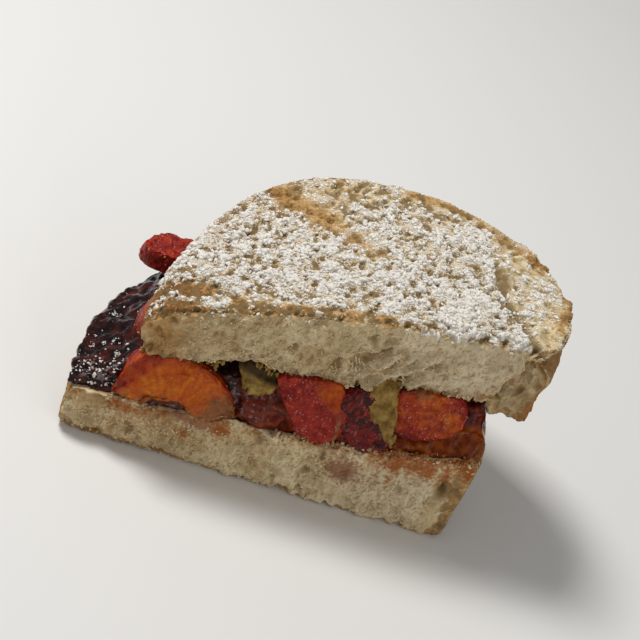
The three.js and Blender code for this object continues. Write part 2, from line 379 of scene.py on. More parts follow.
CREAM = (0.79, 0.67, 0.43)
CRUMB = (0.66, 0.51, 0.29)
# Painted shade: a darker crumb for pores, gaps and shaded parts.
SHADED_CRUMB = (0.34, 0.22, 0.10)
PALE_CRUMB = (0.72, 0.64, 0.50)
GOLDEN = (0.46, 0.265, 0.095)
BROWN = (0.19, 0.078, 0.016)
# Olive brown of grilled bread, also painted as shade in pores, the crease and dents.
OLIVE_GRILL_AND_SHADE = (0.20, 0.135, 0.058)
CRUST = (0.40, 0.21, 0.075)
CRUST_DARK = (0.13, 0.058, 0.022)
JAM_STAIN = (0.21, 0.055, 0.028)
SYRUP_STAIN = (0.33, 0.085, 0.006)
SUGAR_SHADE = (0.76, 0.71, 0.63)
SUGAR_WHITE = (0.97, 0.945, 0.90)
JELLY_BLACK = (0.011, 0.004, 0.0045)
JELLY_PURPLE = (0.065, 0.010, 0.010)
JELLY_WINE = (0.045, 0.004, 0.003)
JELLY_RED = (0.17, 0.016, 0.007)
JELLY_AMBER = (0.15, 0.016, 0.0005)
JELLY_ORANGE = (0.30, 0.062, 0.001)
# Pale mauve: sugar on the jelly, and painted glints.
MAUVE_SUGAR_AND_GLINT = (0.30, 0.22, 0.24)
NUT_BROWN = (0.17, 0.085, 0.012)
NUT_TAN = (0.42, 0.275, 0.068)
NUT_FLECK = (0.22, 0.10, 0.025)
# Painted shade on the peanut butter.
NUT_SHADE = (0.035, 0.016, 0.004)
SKIN_DARK = (0.22, 0.006, 0.004)
SKIN_RED = (0.40, 0.022, 0.009)
FLESH_ORANGE = (0.56, 0.108, 0.0005)
FLESH_RED = (0.48, 0.048, 0.0005)
FLESH_STREAK = (0.80, 0.26, 0.006)
FLESH_FILM = (0.25, 0.105, 0.04)
# Pale dots and fibres of the flesh, in part painted glints.
FLESH_DOT_AND_GLINT = (0.72, 0.36, 0.28)
FLESH_FIBRE_AND_GLINT = (0.62, 0.20, 0.12)
JAM_COAT = (0.05, 0.006, 0.008)
SEED_GOLD = (0.62, 0.38, 0.12)
SEED_BROWN = (0.42, 0.12, 0.04)
FLOOR_GREY = (0.80, 0.80, 0.79)
ROOM_LIGHT = (0.95, 0.945, 0.93)

# ---------------------------------------------------------------- materials


class Shader:
    """A material's node tree with short ways to add nodes. Values may be numbers, colours or sockets."""

    def __init__(self, name):
        self.material = bpy.data.materials.new(name)
        self.material.use_nodes = True
        self.tree = self.material.node_tree
        self.surface = self.tree.nodes["Principled BSDF"]
        self.place = self.add("ShaderNodeTexCoord").outputs["Object"]

    def add(self, kind, settings=None, **inputs):
        """A node with its settings and inputs."""
        node = self.tree.nodes.new(kind)
        for key, value in (settings or {}).items():
            setattr(node, key, value)
        for key, value in inputs.items():
            self.put(node.inputs[key.replace("_", " ")], value)
        return node

    def put(self, socket, value):
        """Links a socket to another, or sets its own number or colour."""
        if isinstance(value, bpy.types.NodeSocket):
            self.tree.links.new(value, socket)
        elif isinstance(value, tuple) and len(value) == 3 and socket.type == "RGBA":
            socket.default_value = (*value, 1)
        else:
            socket.default_value = value

    def mask(self, name):
        """A mask that make_piece put on the points."""
        return self.add("ShaderNodeAttribute", {"attribute_name": name}).outputs["Fac"]

    def noise(self, size_mm, detail=3.0, roughness=0.55, stretch=(1, 1, 1)):
        """Noise of a size in mm, drawn out along an axis where its stretch is below 1."""
        place = self.place
        if stretch != (1, 1, 1):
            place = self.add("ShaderNodeMapping", Vector=place, Scale=stretch).outputs[0]
        node = self.add("ShaderNodeTexNoise", Vector=place, Scale=1 / (size_mm * MM), Detail=detail,
                        Roughness=roughness)
        return node.outputs["Fac"]

    def pits(self, size_mm):
        """The distance to scattered centres, in sizes."""
        node = self.add("ShaderNodeTexVoronoi", Vector=self.place, Scale=1 / (size_mm * MM))
        return node.outputs["Distance"]

    def math(self, operation, a, b, within=False):
        """A sum, product or maximum of two values, kept from 0 to 1 if asked."""
        node = self.add("ShaderNodeMath", {"operation": operation, "use_clamp": within})
        self.put(node.inputs[0], a)
        self.put(node.inputs[1], b)
        return node.outputs[0]

    def times(self, a, b):
        """The product of two values."""
        return self.math("MULTIPLY", a, b)

    def span(self, value, low, high, to_low=0.0, to_high=1.0):
        """Eases a value from one range into another."""
        node = self.add("ShaderNodeMapRange", {"interpolation_type": "SMOOTHSTEP"}, Value=value)
        for key, number in (("From Min", low), ("From Max", high), ("To Min", to_low), ("To Max", to_high)):
            node.inputs[key].default_value = number
        return node.outputs["Result"]

    def ragged(self, mask, grain, amount, low=0.3, high=0.7):
        """A mask with its edge broken up: noise is added to it, up to an amount to both sides."""
        return self.math("ADD", self.mask(mask), self.span(grain, low, high, -amount, amount), within=True)

    def mix(self, share, a, b):
        """A colour at a share of the way from a to b."""
        node = self.add("ShaderNodeMix", {"data_type": "RGBA"})
        self.put(node.inputs["Factor"], share)
        self.put(node.inputs["A"], a)
        self.put(node.inputs["B"], b)
        return node.outputs["Result"]

    def bump(self, height, depth_mm, strength=1.0):
        """Fine relief from a height, at most so deep."""
        bump = self.add("ShaderNodeBump", Height=height, Strength=strength, Distance=depth_mm * MM)
        return bump.outputs["Normal"]

    def finish(self, colour, roughness, relief, specular=0.5, soft=(0, (1.0, 0.2, 0.1), 50)):
        """Sets the surface. Soft says how light sinks in: its share, how far red, green and blue go, and
        the depth in mm."""
        share, reach, depth_mm = soft
        sockets = {
            "Base Color": colour, "Roughness": roughness, "Normal": relief, "Specular IOR Level": specular,
            "Subsurface Weight": share, "Subsurface Radius": reach, "Subsurface Scale": depth_mm * MM}
        for key, value in sockets.items():
            self.put(self.surface.inputs[key], value)
        return self.material


def bread_material():
    """Crumb, toasted face and crust in one. The masks say which shows: toast browns the face, grill browns it
    olive, partly as painted shade in its pores, crease and dents, crust is the skin, stain and syrup are
    soaked in, syrup also as painted shade over the bottom slice's left end, hollow is painted shade, a
    darker crumb in pores, gaps and pits, on the flap's inner face and towards the left ends, floury is pale
    crumb and dust is sugar too fine to be grains. Noise breaks up their edges and varies the colours."""
    s = Shader("toasted_bread")
    fine = s.noise(0.9, 4)
    broad = s.noise(6.0, 3)
    fibres = s.noise(0.7, 3, stretch=(1, 1, 0.35))
    crumb = s.mix(s.span(broad, 0.3, 0.7), CRUMB, CREAM)
    # painted shade: darker crumb in the gaps along its fibres
    crumb = s.mix(s.span(fibres, 0.5, 0.68, 0.0, 0.45), crumb, SHADED_CRUMB)
    crumb = s.mix(s.span(s.noise(0.55, 2), 0.55, 0.7, 0.0, 0.6), crumb, CREAM)
    # painted shade: darker crumb where the hollow mask says so
    crumb = s.mix(s.times(s.mask("hollow_and_painted_shade"), 0.85), crumb, SHADED_CRUMB)
    crumb = s.mix(s.times(s.mask("floury"), s.span(fibres, 0.35, 0.6, 1.0, 0.45)), crumb, PALE_CRUMB)

    toast = s.ragged("toast", fine, 0.26)
    toasted = s.mix(s.span(toast, 0.0, 0.6), crumb, GOLDEN)
    toasted = s.mix(s.span(toast, 0.55, 1.0), toasted, BROWN)
    # olive where the grill mask says so, partly painted shade
    toasted = s.mix(s.times(s.mask("grill_and_painted_shade"), 0.9), toasted, OLIVE_GRILL_AND_SHADE)

    skin = s.mix(s.span(s.noise(9.0, 6, 0.7, stretch=(1, 1, 1.8)), 0.36, 0.72, 0.0, 0.8), CRUST, CRUST_DARK)
    skin = s.mix(s.span(broad, 0.45, 0.75, 0.0, 0.6), skin, GOLDEN)
    skin = s.mix(s.span(s.noise(1.3, 3, stretch=(1, 1, 1.6)), 0.52, 0.68, 0.0, 0.4), skin, CRUST_DARK)
    skin = s.mix(s.span(s.mask("toast"), 0.45, 0.95, 0.0, 0.75), skin, CRUST_DARK)
    colour = s.mix(s.span(s.ragged("crust", fine, 0.2), 0.25, 0.75), toasted, skin)

    soaked = s.ragged("stain", fine, 0.3, 0.25, 0.75)
    colour = s.mix(s.span(soaked, 0.2, 0.9, 0.0, 0.85), colour, JAM_STAIN)
    syrup = s.ragged("syrup", fine, 0.3, 0.25, 0.75)
    colour = s.mix(s.span(syrup, 0.05, 0.6, 0.0, 0.6), colour, GOLDEN)
    colour = s.mix(s.span(syrup, 0.3, 1.0, 0.0, 0.95), colour, SYRUP_STAIN)
    powder_and_painted_glint = s.ragged("dust", s.noise(0.55, 3, 0.6), 0.42)
    colour = s.mix(s.span(powder_and_painted_glint, 0.45, 0.7, 0.0, 0.85), colour, SUGAR_SHADE)
    relief = s.math("ADD", s.times(fine, 0.6), s.times(s.pits(0.55), 0.6))
    roughness = s.span(s.math("MAXIMUM", soaked, syrup), 0.35, 0.9, 0.9, 0.35)
    return s.finish(colour, roughness, s.bump(relief, 0.35, 0.8), 0.25, (0.1, (0.8, 0.5, 0.25), 1.0))


def jelly_material():
    """Nearly black purple red where the jelly is thick, wine red by the mask red, orange red where the
    mask thin says so, with a pale mauve grain by the powder mask: sugar and painted glints on the bare left
    end, painted glints on the front."""
    s = Shader("jelly_gloss")
    cloud = s.noise(4.0, 3)
    dark = s.mix(s.span(cloud, 0.42, 0.75), JELLY_BLACK, JELLY_PURPLE)
    middle = s.mix(s.span(s.noise(2.2, 3), 0.35, 0.65), JELLY_WINE, JELLY_RED)
    dark = s.mix(s.mask("red"), dark, middle)
    orange = s.mix(s.span(s.noise(1.8, 3), 0.35, 0.65), JELLY_AMBER, JELLY_ORANGE)
    colour = s.mix(s.ragged("thin", cloud, 0.12), dark, orange)
    # pale mauve grain: sugar, and painted glints
    grain = s.span(s.ragged("powder_and_painted_glint", s.noise(1.2, 3), 0.5), 0.4, 0.8, 0.0, 0.6)
    colour = s.mix(grain, colour, MAUVE_SUGAR_AND_GLINT)
    roughness = s.math("ADD", s.times(grain, 0.6), 0.06)
    return s.finish(colour, roughness, s.bump(s.noise(1.6, 2), 0.4, 0.7), 0.2, (0.12, (1.0, 0.12, 0.05), 2.0))


def peanut_butter_material():
    """Tan, a little uneven with brown flecks, nearly black as painted shade where its mask says so."""
    s = Shader("peanut_butter_tan")
    colour = s.mix(s.span(s.noise(3.2, 5), 0.34, 0.66), NUT_BROWN, NUT_TAN)
    colour = s.mix(s.span(s.noise(0.6, 3), 0.58, 0.75, 0.0, 0.4), colour, NUT_FLECK)
    colour = s.mix(s.mask("painted_shade"), colour, NUT_SHADE)
    return s.finish(colour, 0.5, s.bump(s.noise(1.2, 4), 0.7, 0.9), 0.2, (0.1, (0.8, 0.5, 0.2), 1.5))


def strawberry_material():
    """Wet red skin and orange flesh. The masks flesh, tan and deep mix in orange flesh, a pale film and
    dark jam, ray is the pattern of pale streaks on a cut face, and speck says how much of the pale dots
    and fibres shows: pale flecks, and in part painted glints."""
    s = Shader("strawberry_wet")
    cloud = s.noise(2.2, 3)
    skin = s.mix(s.span(cloud, 0.3, 0.7), SKIN_DARK, SKIN_RED)
    flesh = s.mix(s.span(s.noise(2.4, 3), 0.35, 0.7), FLESH_ORANGE, FLESH_RED)
    flesh = s.mix(s.times(s.mask("ray"), 0.62), flesh, FLESH_STREAK)
    colour = s.mix(s.span(s.ragged("flesh", cloud, 0.14), 0.1, 0.8), skin, flesh)
    film = s.ragged("tan", s.noise(1.8, 3), 0.22)
    colour = s.mix(s.span(film, 0.15, 0.95, 0.0, 0.85), colour, FLESH_FILM)
    # pale dots, in part painted glints
    dots = s.times(s.span(s.pits(0.9), 0.12, 0.32, 0.8, 0.0), s.span(s.noise(1.6, 2), 0.46, 0.6))
    colour = s.mix(s.times(dots, s.mask("speck")), colour, FLESH_DOT_AND_GLINT)
    colour = s.mix(s.span(s.ragged("deep", cloud, 0.25), 0.2, 0.8), colour, JAM_COAT)
    fibre = s.noise(0.7, 3, stretch=(1, 1, 0.3))
    # pale fibres, in part painted glints
    pale = s.times(s.span(fibre, 0.56, 0.70), s.times(s.mask("speck"), 0.5))
    colour = s.mix(pale, colour, FLESH_FIBRE_AND_GLINT)
    relief = s.math("ADD", s.times(s.noise(0.8, 3), 0.7), s.times(s.mask("ray"), 0.4))
    relief = s.math("ADD", relief, s.times(fibre, 0.5))
    return s.finish(colour, 0.17, s.bump(relief, 0.8), 0.22, (0.15, (1.0, 0.2, 0.05), 2.5))


def seed_material():
    """Golden seeds with brown patches."""
    s = Shader("strawberry_seed")
    colour = s.mix(s.span(s.noise(1.5, 2), 0.35, 0.7), SEED_GOLD, SEED_BROWN)
    return s.finish(colour, 0.35, s.bump(s.noise(0.3, 2), 0.1, 0.5))


def sugar_material():
    """White, with a greyer tone mixed in by noise."""
    s = Shader("powdered_sugar")
    colour = s.mix(s.span(s.noise(0.5, 3), 0.3, 0.7), SUGAR_SHADE, SUGAR_WHITE)
    return s.finish(colour, 0.75, s.bump(s.noise(0.2, 3), 0.12, 0.7), soft=(0.25, (1, 1, 1), 0.6))


BREAD = bread_material()
JELLY = jelly_material()
PEANUT_BUTTER = peanut_butter_material()
STRAWBERRY = strawberry_material()
SEED = seed_material()
SUGAR = sugar_material()

BREAD_MASKS = ("toast", "crust", "stain", "syrup", "hollow_and_painted_shade", "grill_and_painted_shade", "dust", "floury")


def bread_masks(count, given=None):
    """All of the bread's masks for so many points, 0 where none is given."""
    return {key: (given or {}).get(key, np.zeros(count)) for key in BREAD_MASKS}


# ---------------------------------------------------------------- slices of bread

# How a noise or a pattern is kept from varying along an axis: the points are multiplied by these.
ALONG_CUT = (1, 0, 0)
IN_PLAN = (1, 1, 0)
ON_CUT = (1, 0, 1)

TOP_STEPS = (250, 100, 56)
BOTTOM_STEPS = (250, 90, 50)


def round_corner(first, second, radius):
    """Shifts that round a square corner of a section: a point's two distances from the corner's sides,
    where both are below the radius, are moved from a square onto a quarter circle about its middle."""
    a = 1 - clip(first / radius)
    b = 1 - clip(second / radius)
    reach = np.maximum(a, b)
    turn = np.where(b >= a, a / (b + TINY), 2 - b / (a + TINY)) * math.pi / 4
    return (a - reach * np.sin(turn)) * radius, (b - reach * np.cos(turn)) * radius


def slice_skin(outline, lower, upper, steps, crust_radius, cut_radius):
    """A half slice as the skin of a bent box, its edges along the crust and along the cut face rounded
    by radii that vary with X. With the mesh come each point's distances from crust and cut face."""
    pqw, quads = box_grid(*steps)
    u, v, w = (pqw.T + 1) / 2
    plan = plan_point(outline, u, v)
    front_y = lerp(outline[0, 1], outline[12, 1], u)
    inward = crust_distance(outline, plan)
    low, high = lower(plan[:, 0]), upper(plan[:, 0])
    side = np.where(w < 0.5, -1.0, 1.0)
    down = np.minimum(w, 1 - w) * (high - low)
    shift_in, shift_down = round_corner(inward, down, crust_radius(plan[:, 0], side))
    shift_back, shift_more = round_corner(plan[:, 1] - front_y, down, cut_radius(plan[:, 0], side))
    x = middle_x(outline) + (plan[:, 0] - middle_x(outline)) * (1 - shift_in / CUT_HALF_WIDTH)
    y = front_y + (plan[:, 1] - front_y) * (1 - shift_in / DEPTH) + shift_back
    z = lerp(low, high, w) - side * (shift_down + shift_more)
    return np.stack([x, y, z], axis=-1), quads, inward, y - front_y


def cut_share(normal, behind):
    """1 where a slice's surface faces forwards near its front, which is its cut face, and 0 elsewhere."""
    return ramp(-normal[:, 1], 0.25, 0.75) * ramp(behind, 6, 1)


CRUMB_SIZES = ((4.4, 0.4), (2.3, 0.36), (1.2, 0.24))  # size of a pore in mm, and its share


def crumb_depth(points, seed):
    """How deep the open crumb lies behind its cut face, in mm: thin walls stand out where noise of three
    sizes, its places bent by more noise, crosses zero, with a few larger pores and a slow unevenness.
    Also how much painted shade darkens its pores."""
    places = bent(points, 2.8, seed, 1.1) * (1, 1, 0.7)
    walls = 0
    for k, (size, share) in enumerate(CRUMB_SIZES):
        walls = walls + share * (1 - np.abs(noise(places, size, seed + 10 + k))) ** 2
    near, kind = cells(places, 5.0, seed + 50)
    large = np.where(kind > 0.72, dome(near, 0.32), 0)
    pits = clip(1.45 * (0.72 - walls))
    shade = clip(pits - 0.25) ** 1.3 + 0.8 * large
    return 1.9 * pits + 1.3 * large + 0.6 * rough(points, 6, seed + 90) - 0.5, shade


def crust_wrinkles(points, seed):
    """The crust's relief: wrinkles a few mm wide with finer ones on them."""
    return 0.45 * rough(points, 3.6, seed) + 0.15 * rough(points, 1.2, seed + 1)


def floury(x, right_end):
    """How pale the right part of a cut face is, up to its right end."""
    return 0.6 * ramp(x, 14, 34) * ramp(x, right_end, right_end - 6)


# The flap of crust at the right end, as in the solids.
FLAP_LOW, FLAP_HIGH = 39.5, 62.0
FLAP_LEFT = (48.5, 57.0)
FLAP_RIGHT = (63.4, 63.6)
FLAP_FRONT_RIGHT = 8.2
FLAP_RECESS = 4.0
FLAP_THICKNESS = 4.0
FLAP_WRAP = 9.0

# The undercut below the toasted lip at the right end.
NOTCH_DEPTH = 4.5
NOTCH_Z = 61.6
NOTCH_REACH = 3.0


def flap_face(u, v):
    """A point of the flap's inner face at a share u from its inner to its outer edge and v from below
    to above: both edges lean, and the face lies deeper towards the inner edge."""
    left = lerp(*FLAP_LEFT, v)
    right = lerp(*FLAP_RIGHT, np.maximum(v, 0) ** 0.6)
    z = lerp(FLAP_LOW + 2.2 * u, FLAP_HIGH, v)
    return np.stack([lerp(left, right, u), FLAP_FRONT_RIGHT + FLAP_RECESS * (1 - u) ** 1.5, z], axis=-1)


def torn_back(points, ragged):
    """How far back the torn end lies: for points in front of the flap, its face and a little more."""
    x, y, z = points.T
    v = (z - FLAP_LOW) / (FLAP_HIGH - FLAP_LOW)
    left = lerp(*FLAP_LEFT, v) + ragged
    right = lerp(*FLAP_RIGHT, clip(v) ** 0.6)
    u = clip((x - left) / (right - left))
    face = FLAP_FRONT_RIGHT + FLAP_RECESS * (1 - u) ** 1.5 + lerp(3.4, 1.2, u)
    inside = ramp(x, left, left + 1.2) * smooth((1.0 - v) * 14)
    return np.clip(face - y, 0, None) * inside


def notch(z):
    """How far the crust at the right end is cut under at each height."""
    return NOTCH_DEPTH * bump_at(z - NOTCH_Z, NOTCH_REACH)


# Places on the toasted face, in plan.
TOASTED_STREAK = [(-13.8, 58.7), (-6.6, 52.8), (-0.1, 48.1), (8.2, 38.6), (13.5, 35.3)]
BAND_X = (-41, -33, -25, -20, -12, 15, 30, 60)
BAND_WIDE = (13.5, 12.5, 10.0, 7.0, 4.4, 3.2, 2.0, 1.2)
CREASE = [(44.6, 42.0), (45.6, 38.0), (47.1, 32.6), (49.0, 25.2), (51.7, 19.4), (54.4, 13.8), (57.5, 7.9)]
DEEP_CREASE = CREASE[3:]
BACK_RIM = [(22.0, 66.0), (39.3, 61.0), (52.0, 51.0), (60.0, 44.0)]
OLIVE_PATCH = [(46.8, 36.5), (48.4, 32.8)]
PORE_IN_TOAST = (59.4, 33.1)
BEADED_CRUST = [(60.5, 47.0), (64.3, 44.8), (66.6, 36.0), (66.4, 28.1), (63.0, 18.0)]

# What lies bare of sugar or has more of it: a line or a place, its reach or half sizes, and the change.
SUGAR_LINES = [
    (OLIVE_PATCH, 2.3, -0.9), (DEEP_CREASE, 0.5, -1.0), (BEADED_CRUST, 2.4, -0.9), (BACK_RIM, 2.8, -0.6),
    ([(28.0, 22.0), (44.0, 14.0)], 12, 0.35), ([(-32.0, 40.0), (-20.0, 56.0)], 8, 0.25),
    ([(-30.0, 36.0), (-10.0, 24.0)], 9, 0.15)]
BARE_SPOTS = [((-25, 29.6), (2.4, 2.4), 0.6), ((59.5, 13), (4.0, 5.5), 0.9)] + [
    (place, (1.7, 1.7), 0.5) for place in (
        (-26.9, 21.9), (-11.7, 26.1), (12.5, 16.7), (7.3, 12.2), (28.6, 18.3), (-5.0, 20.0), (-16.4, 13.8),
        (-12.3, 10.9))]


def along(xy, line, reach):
    """1 on a line of straight stretches, falling like a bell to both sides."""
    return bump_at(line_distance(xy, line), reach)


def beyond_crease(xy):
    """0 left of the crease and 1 right of it, over about 3 mm."""
    crease_x = np.interp(xy[:, 1], [p[1] for p in CREASE[::-1]], [p[0] for p in CREASE[::-1]])
    return smooth((xy[:, 0] - crease_x) / 3.0 + 0.3)


def behind_front(points):
    """How far a point of the upper slice lies behind its front line, which runs straight."""
    (left_x, left_y), (right_x, right_y) = TOP_OUTLINE[0], TOP_OUTLINE[12]
    return points[:, 1] - left_y - (points[:, 0] - left_x) * (right_y - left_y) / (right_x - left_x)


def toasted_streak(xy):
    """1 along the toasted streak across the face, wide at its back part, falling off to both sides."""
    return np.maximum(along(xy, TOASTED_STREAK[:3], 4.6), 0.7 * along(xy, TOASTED_STREAK[2:], 3.4))


def front_band(points):
    """How bare and toasted the face is along its front edge: a band, wide at the left end and narrow
    further right, broken up by noise."""
    wide = np.interp(points[:, 0], BAND_X, BAND_WIDE)
    patches = smooth(0.78 + 1.5 * rough(points * IN_PLAN, 4.0, 471))
    return ramp(behind_front(points), 1.2 * wide, 0.8 * wide) * patches


def sugar_cover(points):
    """How thickly sugar lies on the toasted face, from 0 to 1: in drifts, thin on the toasted streak,
    along the front edge and at the back, and nearly none beyond the crease."""
    xy = points[:, :2]
    x, y = xy.T
    cover = 0.80 + 0.42 * rough(points * IN_PLAN, 9, 301)
    cover -= 0.8 * toasted_streak(xy) + 0.8 * front_band(points)
    for line, reach, change in SUGAR_LINES:
        cover += change * along(xy, line, reach)
    for place, half, share in BARE_SPOTS:
        cover -= share * spot(x, y, place, half)
    cover -= 0.35 * ramp(y - 0.2 * x, 44, 58)
    cover *= 1 - beyond_crease(xy) * np.clip(0.5 + 0.9 * rough(points * IN_PLAN, 4.0, 302), 0, 0.9)
    return clip(cover)


def face_bumps(points):
    """The toasted face's grain, from -1 to 1: noise of two sizes with its places bent by more noise."""
    return rough(bent(points, 3.0, 640, 0.8), 2.1, 650, 2)


def face_pores(points):
    """Open pores of the toasted face, from 0 to 1: round pits about most of the scattered centres."""
    near, kind = cells(points, 2.2, 430)
    return np.where(kind > 0.3, dome(near, 0.38 + 0.2 * kind), 0)


def top_rounding(x, side):
    """The left end is rounded most, and the lower edge more than the upper one further right."""
    return lerp(7.5, np.where(side > 0, 2.4, 3.4), ramp(x, -41, -19))


def cut_rounding(x, side):
    """The upper edge of a cut face is rounded unevenly, the lower one hardly."""
    line = x[:, None] * ALONG_CUT
    upper = 1.9 + 2.4 * ramp(x, 6, 30) + 1.1 * noise(line, 6.0, 398) + 0.5 * noise(line, 2.0, 399)
    return np.where(side > 0, upper, 0.5)


# On the top slice's cut face: the middle of the torn part, and of the hollow over each tongue.
TORN_X = 24
LEFT_HOLLOW_X, RIGHT_HOLLOW_X = -12.5, 23.5


def bread_top():
    """The upper slice: the bent box with its crust edges rounded, the toasted face in low relief, the
    open crumb on the cut face with a ragged fringe below it, and its right end torn back."""
    points, quads, inward, behind = slice_skin(
        TOP_OUTLINE, underside, top_face, TOP_STEPS, top_rounding, cut_rounding)
    x, y, z = points.T
    face = points.copy()
    depth_share = (z - underside(x)) / (top_face(x) - underside(x))

    # the fringe: torn threads of crumb that hang below the cut face, and the hollows over the tongues
    thread = np.abs(noise(points * (1, 0.3, 0), 2.1, 401)) * 2.6 + 0.9 * rough(points * (1, 0.3, 0), 5, 402)
    low_edge = ramp(depth_share, 0.28, 0) * ramp(behind, 3, 0)
    points[:, 2] -= low_edge * np.clip(thread, -0.6, 2.8)
    near_edge = ramp(depth_share, 0.4, 0) * ramp(behind, 9, 1)
    hollow_and_painted_shade = bump_at(x - LEFT_HOLLOW_X, 7.5) * near_edge
    points[:, 2] += 3.0 * hollow_and_painted_shade + 1.8 * bump_at(x - RIGHT_HOLLOW_X, 6.5) * near_edge

    # the torn end and the undercut beside it
    points[:, 1] += torn_back(points, 1.6 * noise(points * (0, 1, 1), 3.0, 405))
    points[:, 0] -= notch(z) * ramp(x, 54, 62) * ramp(y, 34, 22)

    # which part is cut face, toasted face and wall
    normal = normals_of(points, quads)
    cut = cut_share(normal, behind)
    toasted = ramp(normal[:, 2], 0.3, 0.7) * ramp(face[:, 2] - top_face(face[:, 0]), -5, -3)
    wall = clip(1 - cut - toasted) * ramp(normal[:, 2], -0.9, -0.6)

    # the crumb: slanting strands where it is torn, pits at the left end
    crumb, large = crumb_depth(face, 410)
    strands = noise(np.stack([0.75 * x + 0.66 * z, (0.75 * z - 0.66 * x) * 4, y], axis=-1), 6.0, 420)
    torn_area = bump_at(x - TORN_X, 13) * ramp(depth_share, 0.8, 0.3)
    left_pits = ramp(x, -26, -34) * domes(face, 2.4, 426, 0.45)
    crumb += 3.8 * torn_area * strands + 0.6 * strands * (1 - torn_area)
    crumb += ramp(x, -28, -38) * (0.7 * rough(face, 2.6, 425) + 0.5) + 0.9 * left_pits

    # the toasted face: grain, pores, the crease, and beads of crust at the right
    xy = points[:, :2]
    pores, bumps = face_pores(face), face_bumps(face)
    beyond = beyond_crease(xy) * toasted
    groove = along(xy, CREASE, 0.6 + 0.01 * (40 - y)) * ramp(y, 40, 24)
    crease_line = along(xy, DEEP_CREASE, 0.7)
    beads = along(xy, BEADED_CRUST, 2.2)
    relief = 0.35 * rough(face, 4.5, 440) + 0.65 * bumps - 1.2 * pores * (1 - 0.4 * beyond)
    relief -= 1.3 * groove + 0.6 * crease_line * toasted
    relief += beyond * (0.5 + 1.0 * rough(face, 6.0, 441, 2))
    relief -= 3.2 * spot(x, y, PORE_IN_TOAST, (0.9, 0.9))
    relief += 0.8 * beads * domes(face, 2.2, 450, 0.6)
    wrinkles = crust_wrinkles(face, 460) + 1.1 * noise(face, 8.0, 462) * ramp(x, 44, 54)
    points += normal * (toasted * relief - cut * crumb + wall * wrinkles)[:, None]

    # how browned it is: the face, the wall's rims, the ragged upper edge of the cut and the left end
    left_end = ramp(x, -22, -36)
    streak = toasted_streak(xy)
    olive = along(xy, OLIVE_PATCH, 2.2)
    low_grain = smooth(0.25 - 2.0 * bumps)
    toast = 0.08 + 0.2 * rough(face, 6, 470) + 0.16 * ramp(x, 10, -20) + 0.45 * streak
    toast += 0.44 * front_band(face) * (1 + 0.9 * low_grain) * ramp(behind, -0.6, 1.4)
    # browner in the pores and low grain, partly as painted shade
    toast += 0.3 * (pores + 0.4 * low_grain) + 0.3 * olive
    toast += 0.5 * along(xy, BACK_RIM, 2.2) + 0.7 * along(xy, BEADED_CRUST, 2.6)
    toast += beyond * (0.3 * rough(face, 3.0, 474) - 0.04) - 0.2 * ramp(x, 20, 50)
    above = z - underside(x)
    rim = bump_at(top_face(x) - z, 3.2) + 0.7 * bump_at(above, 2.4)
    toast = toasted * toast + wall * (0.45 + 0.4 * rim * (1 + 0.8 * rough(face, 5, 472)))
    ragged = 1.5 + 1.8 * noise(face * IN_PLAN, 3.0, 475) + 0.8 * noise(face, 1.3, 476)
    toast += 0.5 * cut * smooth((ragged - (top_face(x) - z)) / 1.8)
    toast += left_end * lerp(0.5, 0.28, toasted) * (1 + 1.2 * rough(face, 2.2, 477))

    # where the crust's skin shows: the wall, a dark line at the back left, and the beads
    crust = clip(wall * (0.75 + 0.3 * rough(face, 5, 480)) * (1 - 0.8 * left_end * (y < 26)))
    crust = np.maximum(crust, 0.95 * bump_at(inward, 1.3) * ramp(x, 16, 6) * ramp(y, 34, 44) * toasted)
    crust = np.maximum(crust, 0.75 * beads * ramp(inward, 3.6, 1.2))

    # how olive the face is: in the pores and low grain partly as painted shade, along the groove and crease
    # line as painted shade
    plain = (1 - 0.5 * beyond) * (1 - 0.8 * streak)
    browned_and_painted_shade = (1.2 * pores + smooth(0.2 - 2.4 * bumps)) * plain + 0.8 * groove + 0.6 * crease_line
    singed = bump_at(above + 0.6, 2.8) * (0.5 + 1.3 * rough(face, 2.6, 491))
    # painted shade on the cut face: darker in the large pores, between torn strands and in the pits at the
    # left end, and darker towards the left end and round X 4
    shaded = 1.3 * large + 0.9 * torn_area * ramp(strands, 0.15, 0.55) + 0.8 * left_pits
    shaded += 0.15 * left_end + 0.38 * ramp(x, 2, -22) + 0.2 * bump_at(x - 4, 12)
    left_flank = ramp(normal[:, 2], -0.1, 0.2) * ramp(x, -8, -24) * ramp(behind, 8, 16)
    masks = {
        "toast": clip(toast),
        "crust": crust * (1 - cut),
        "stain": 0.55 * cut * bump_at(above, 1.6) * (0.5 + rough(face, 3, 490)) + 0.5 * hollow_and_painted_shade * cut,
        "syrup": 0.5 * cut * bump_at(above, 1.3) * ramp(x, 5, 35),
        "hollow_and_painted_shade": clip(cut * shaded),
        "grill_and_painted_shade": clip(cut * singed + toasted * (browned_and_painted_shade + 0.7 * olive)),
        "dust": np.maximum(toasted, left_flank) * (
            0.86 * sugar_cover(face) + 0.6 * bumps - 1.1 * pores - 0.7 * groove),
        "floury": cut * floury(x, 58),
    }
    make_piece("bread_slice_top", points, quads, BREAD, ["bread_top"], bread_masks(len(x), masks))
    return points, quads


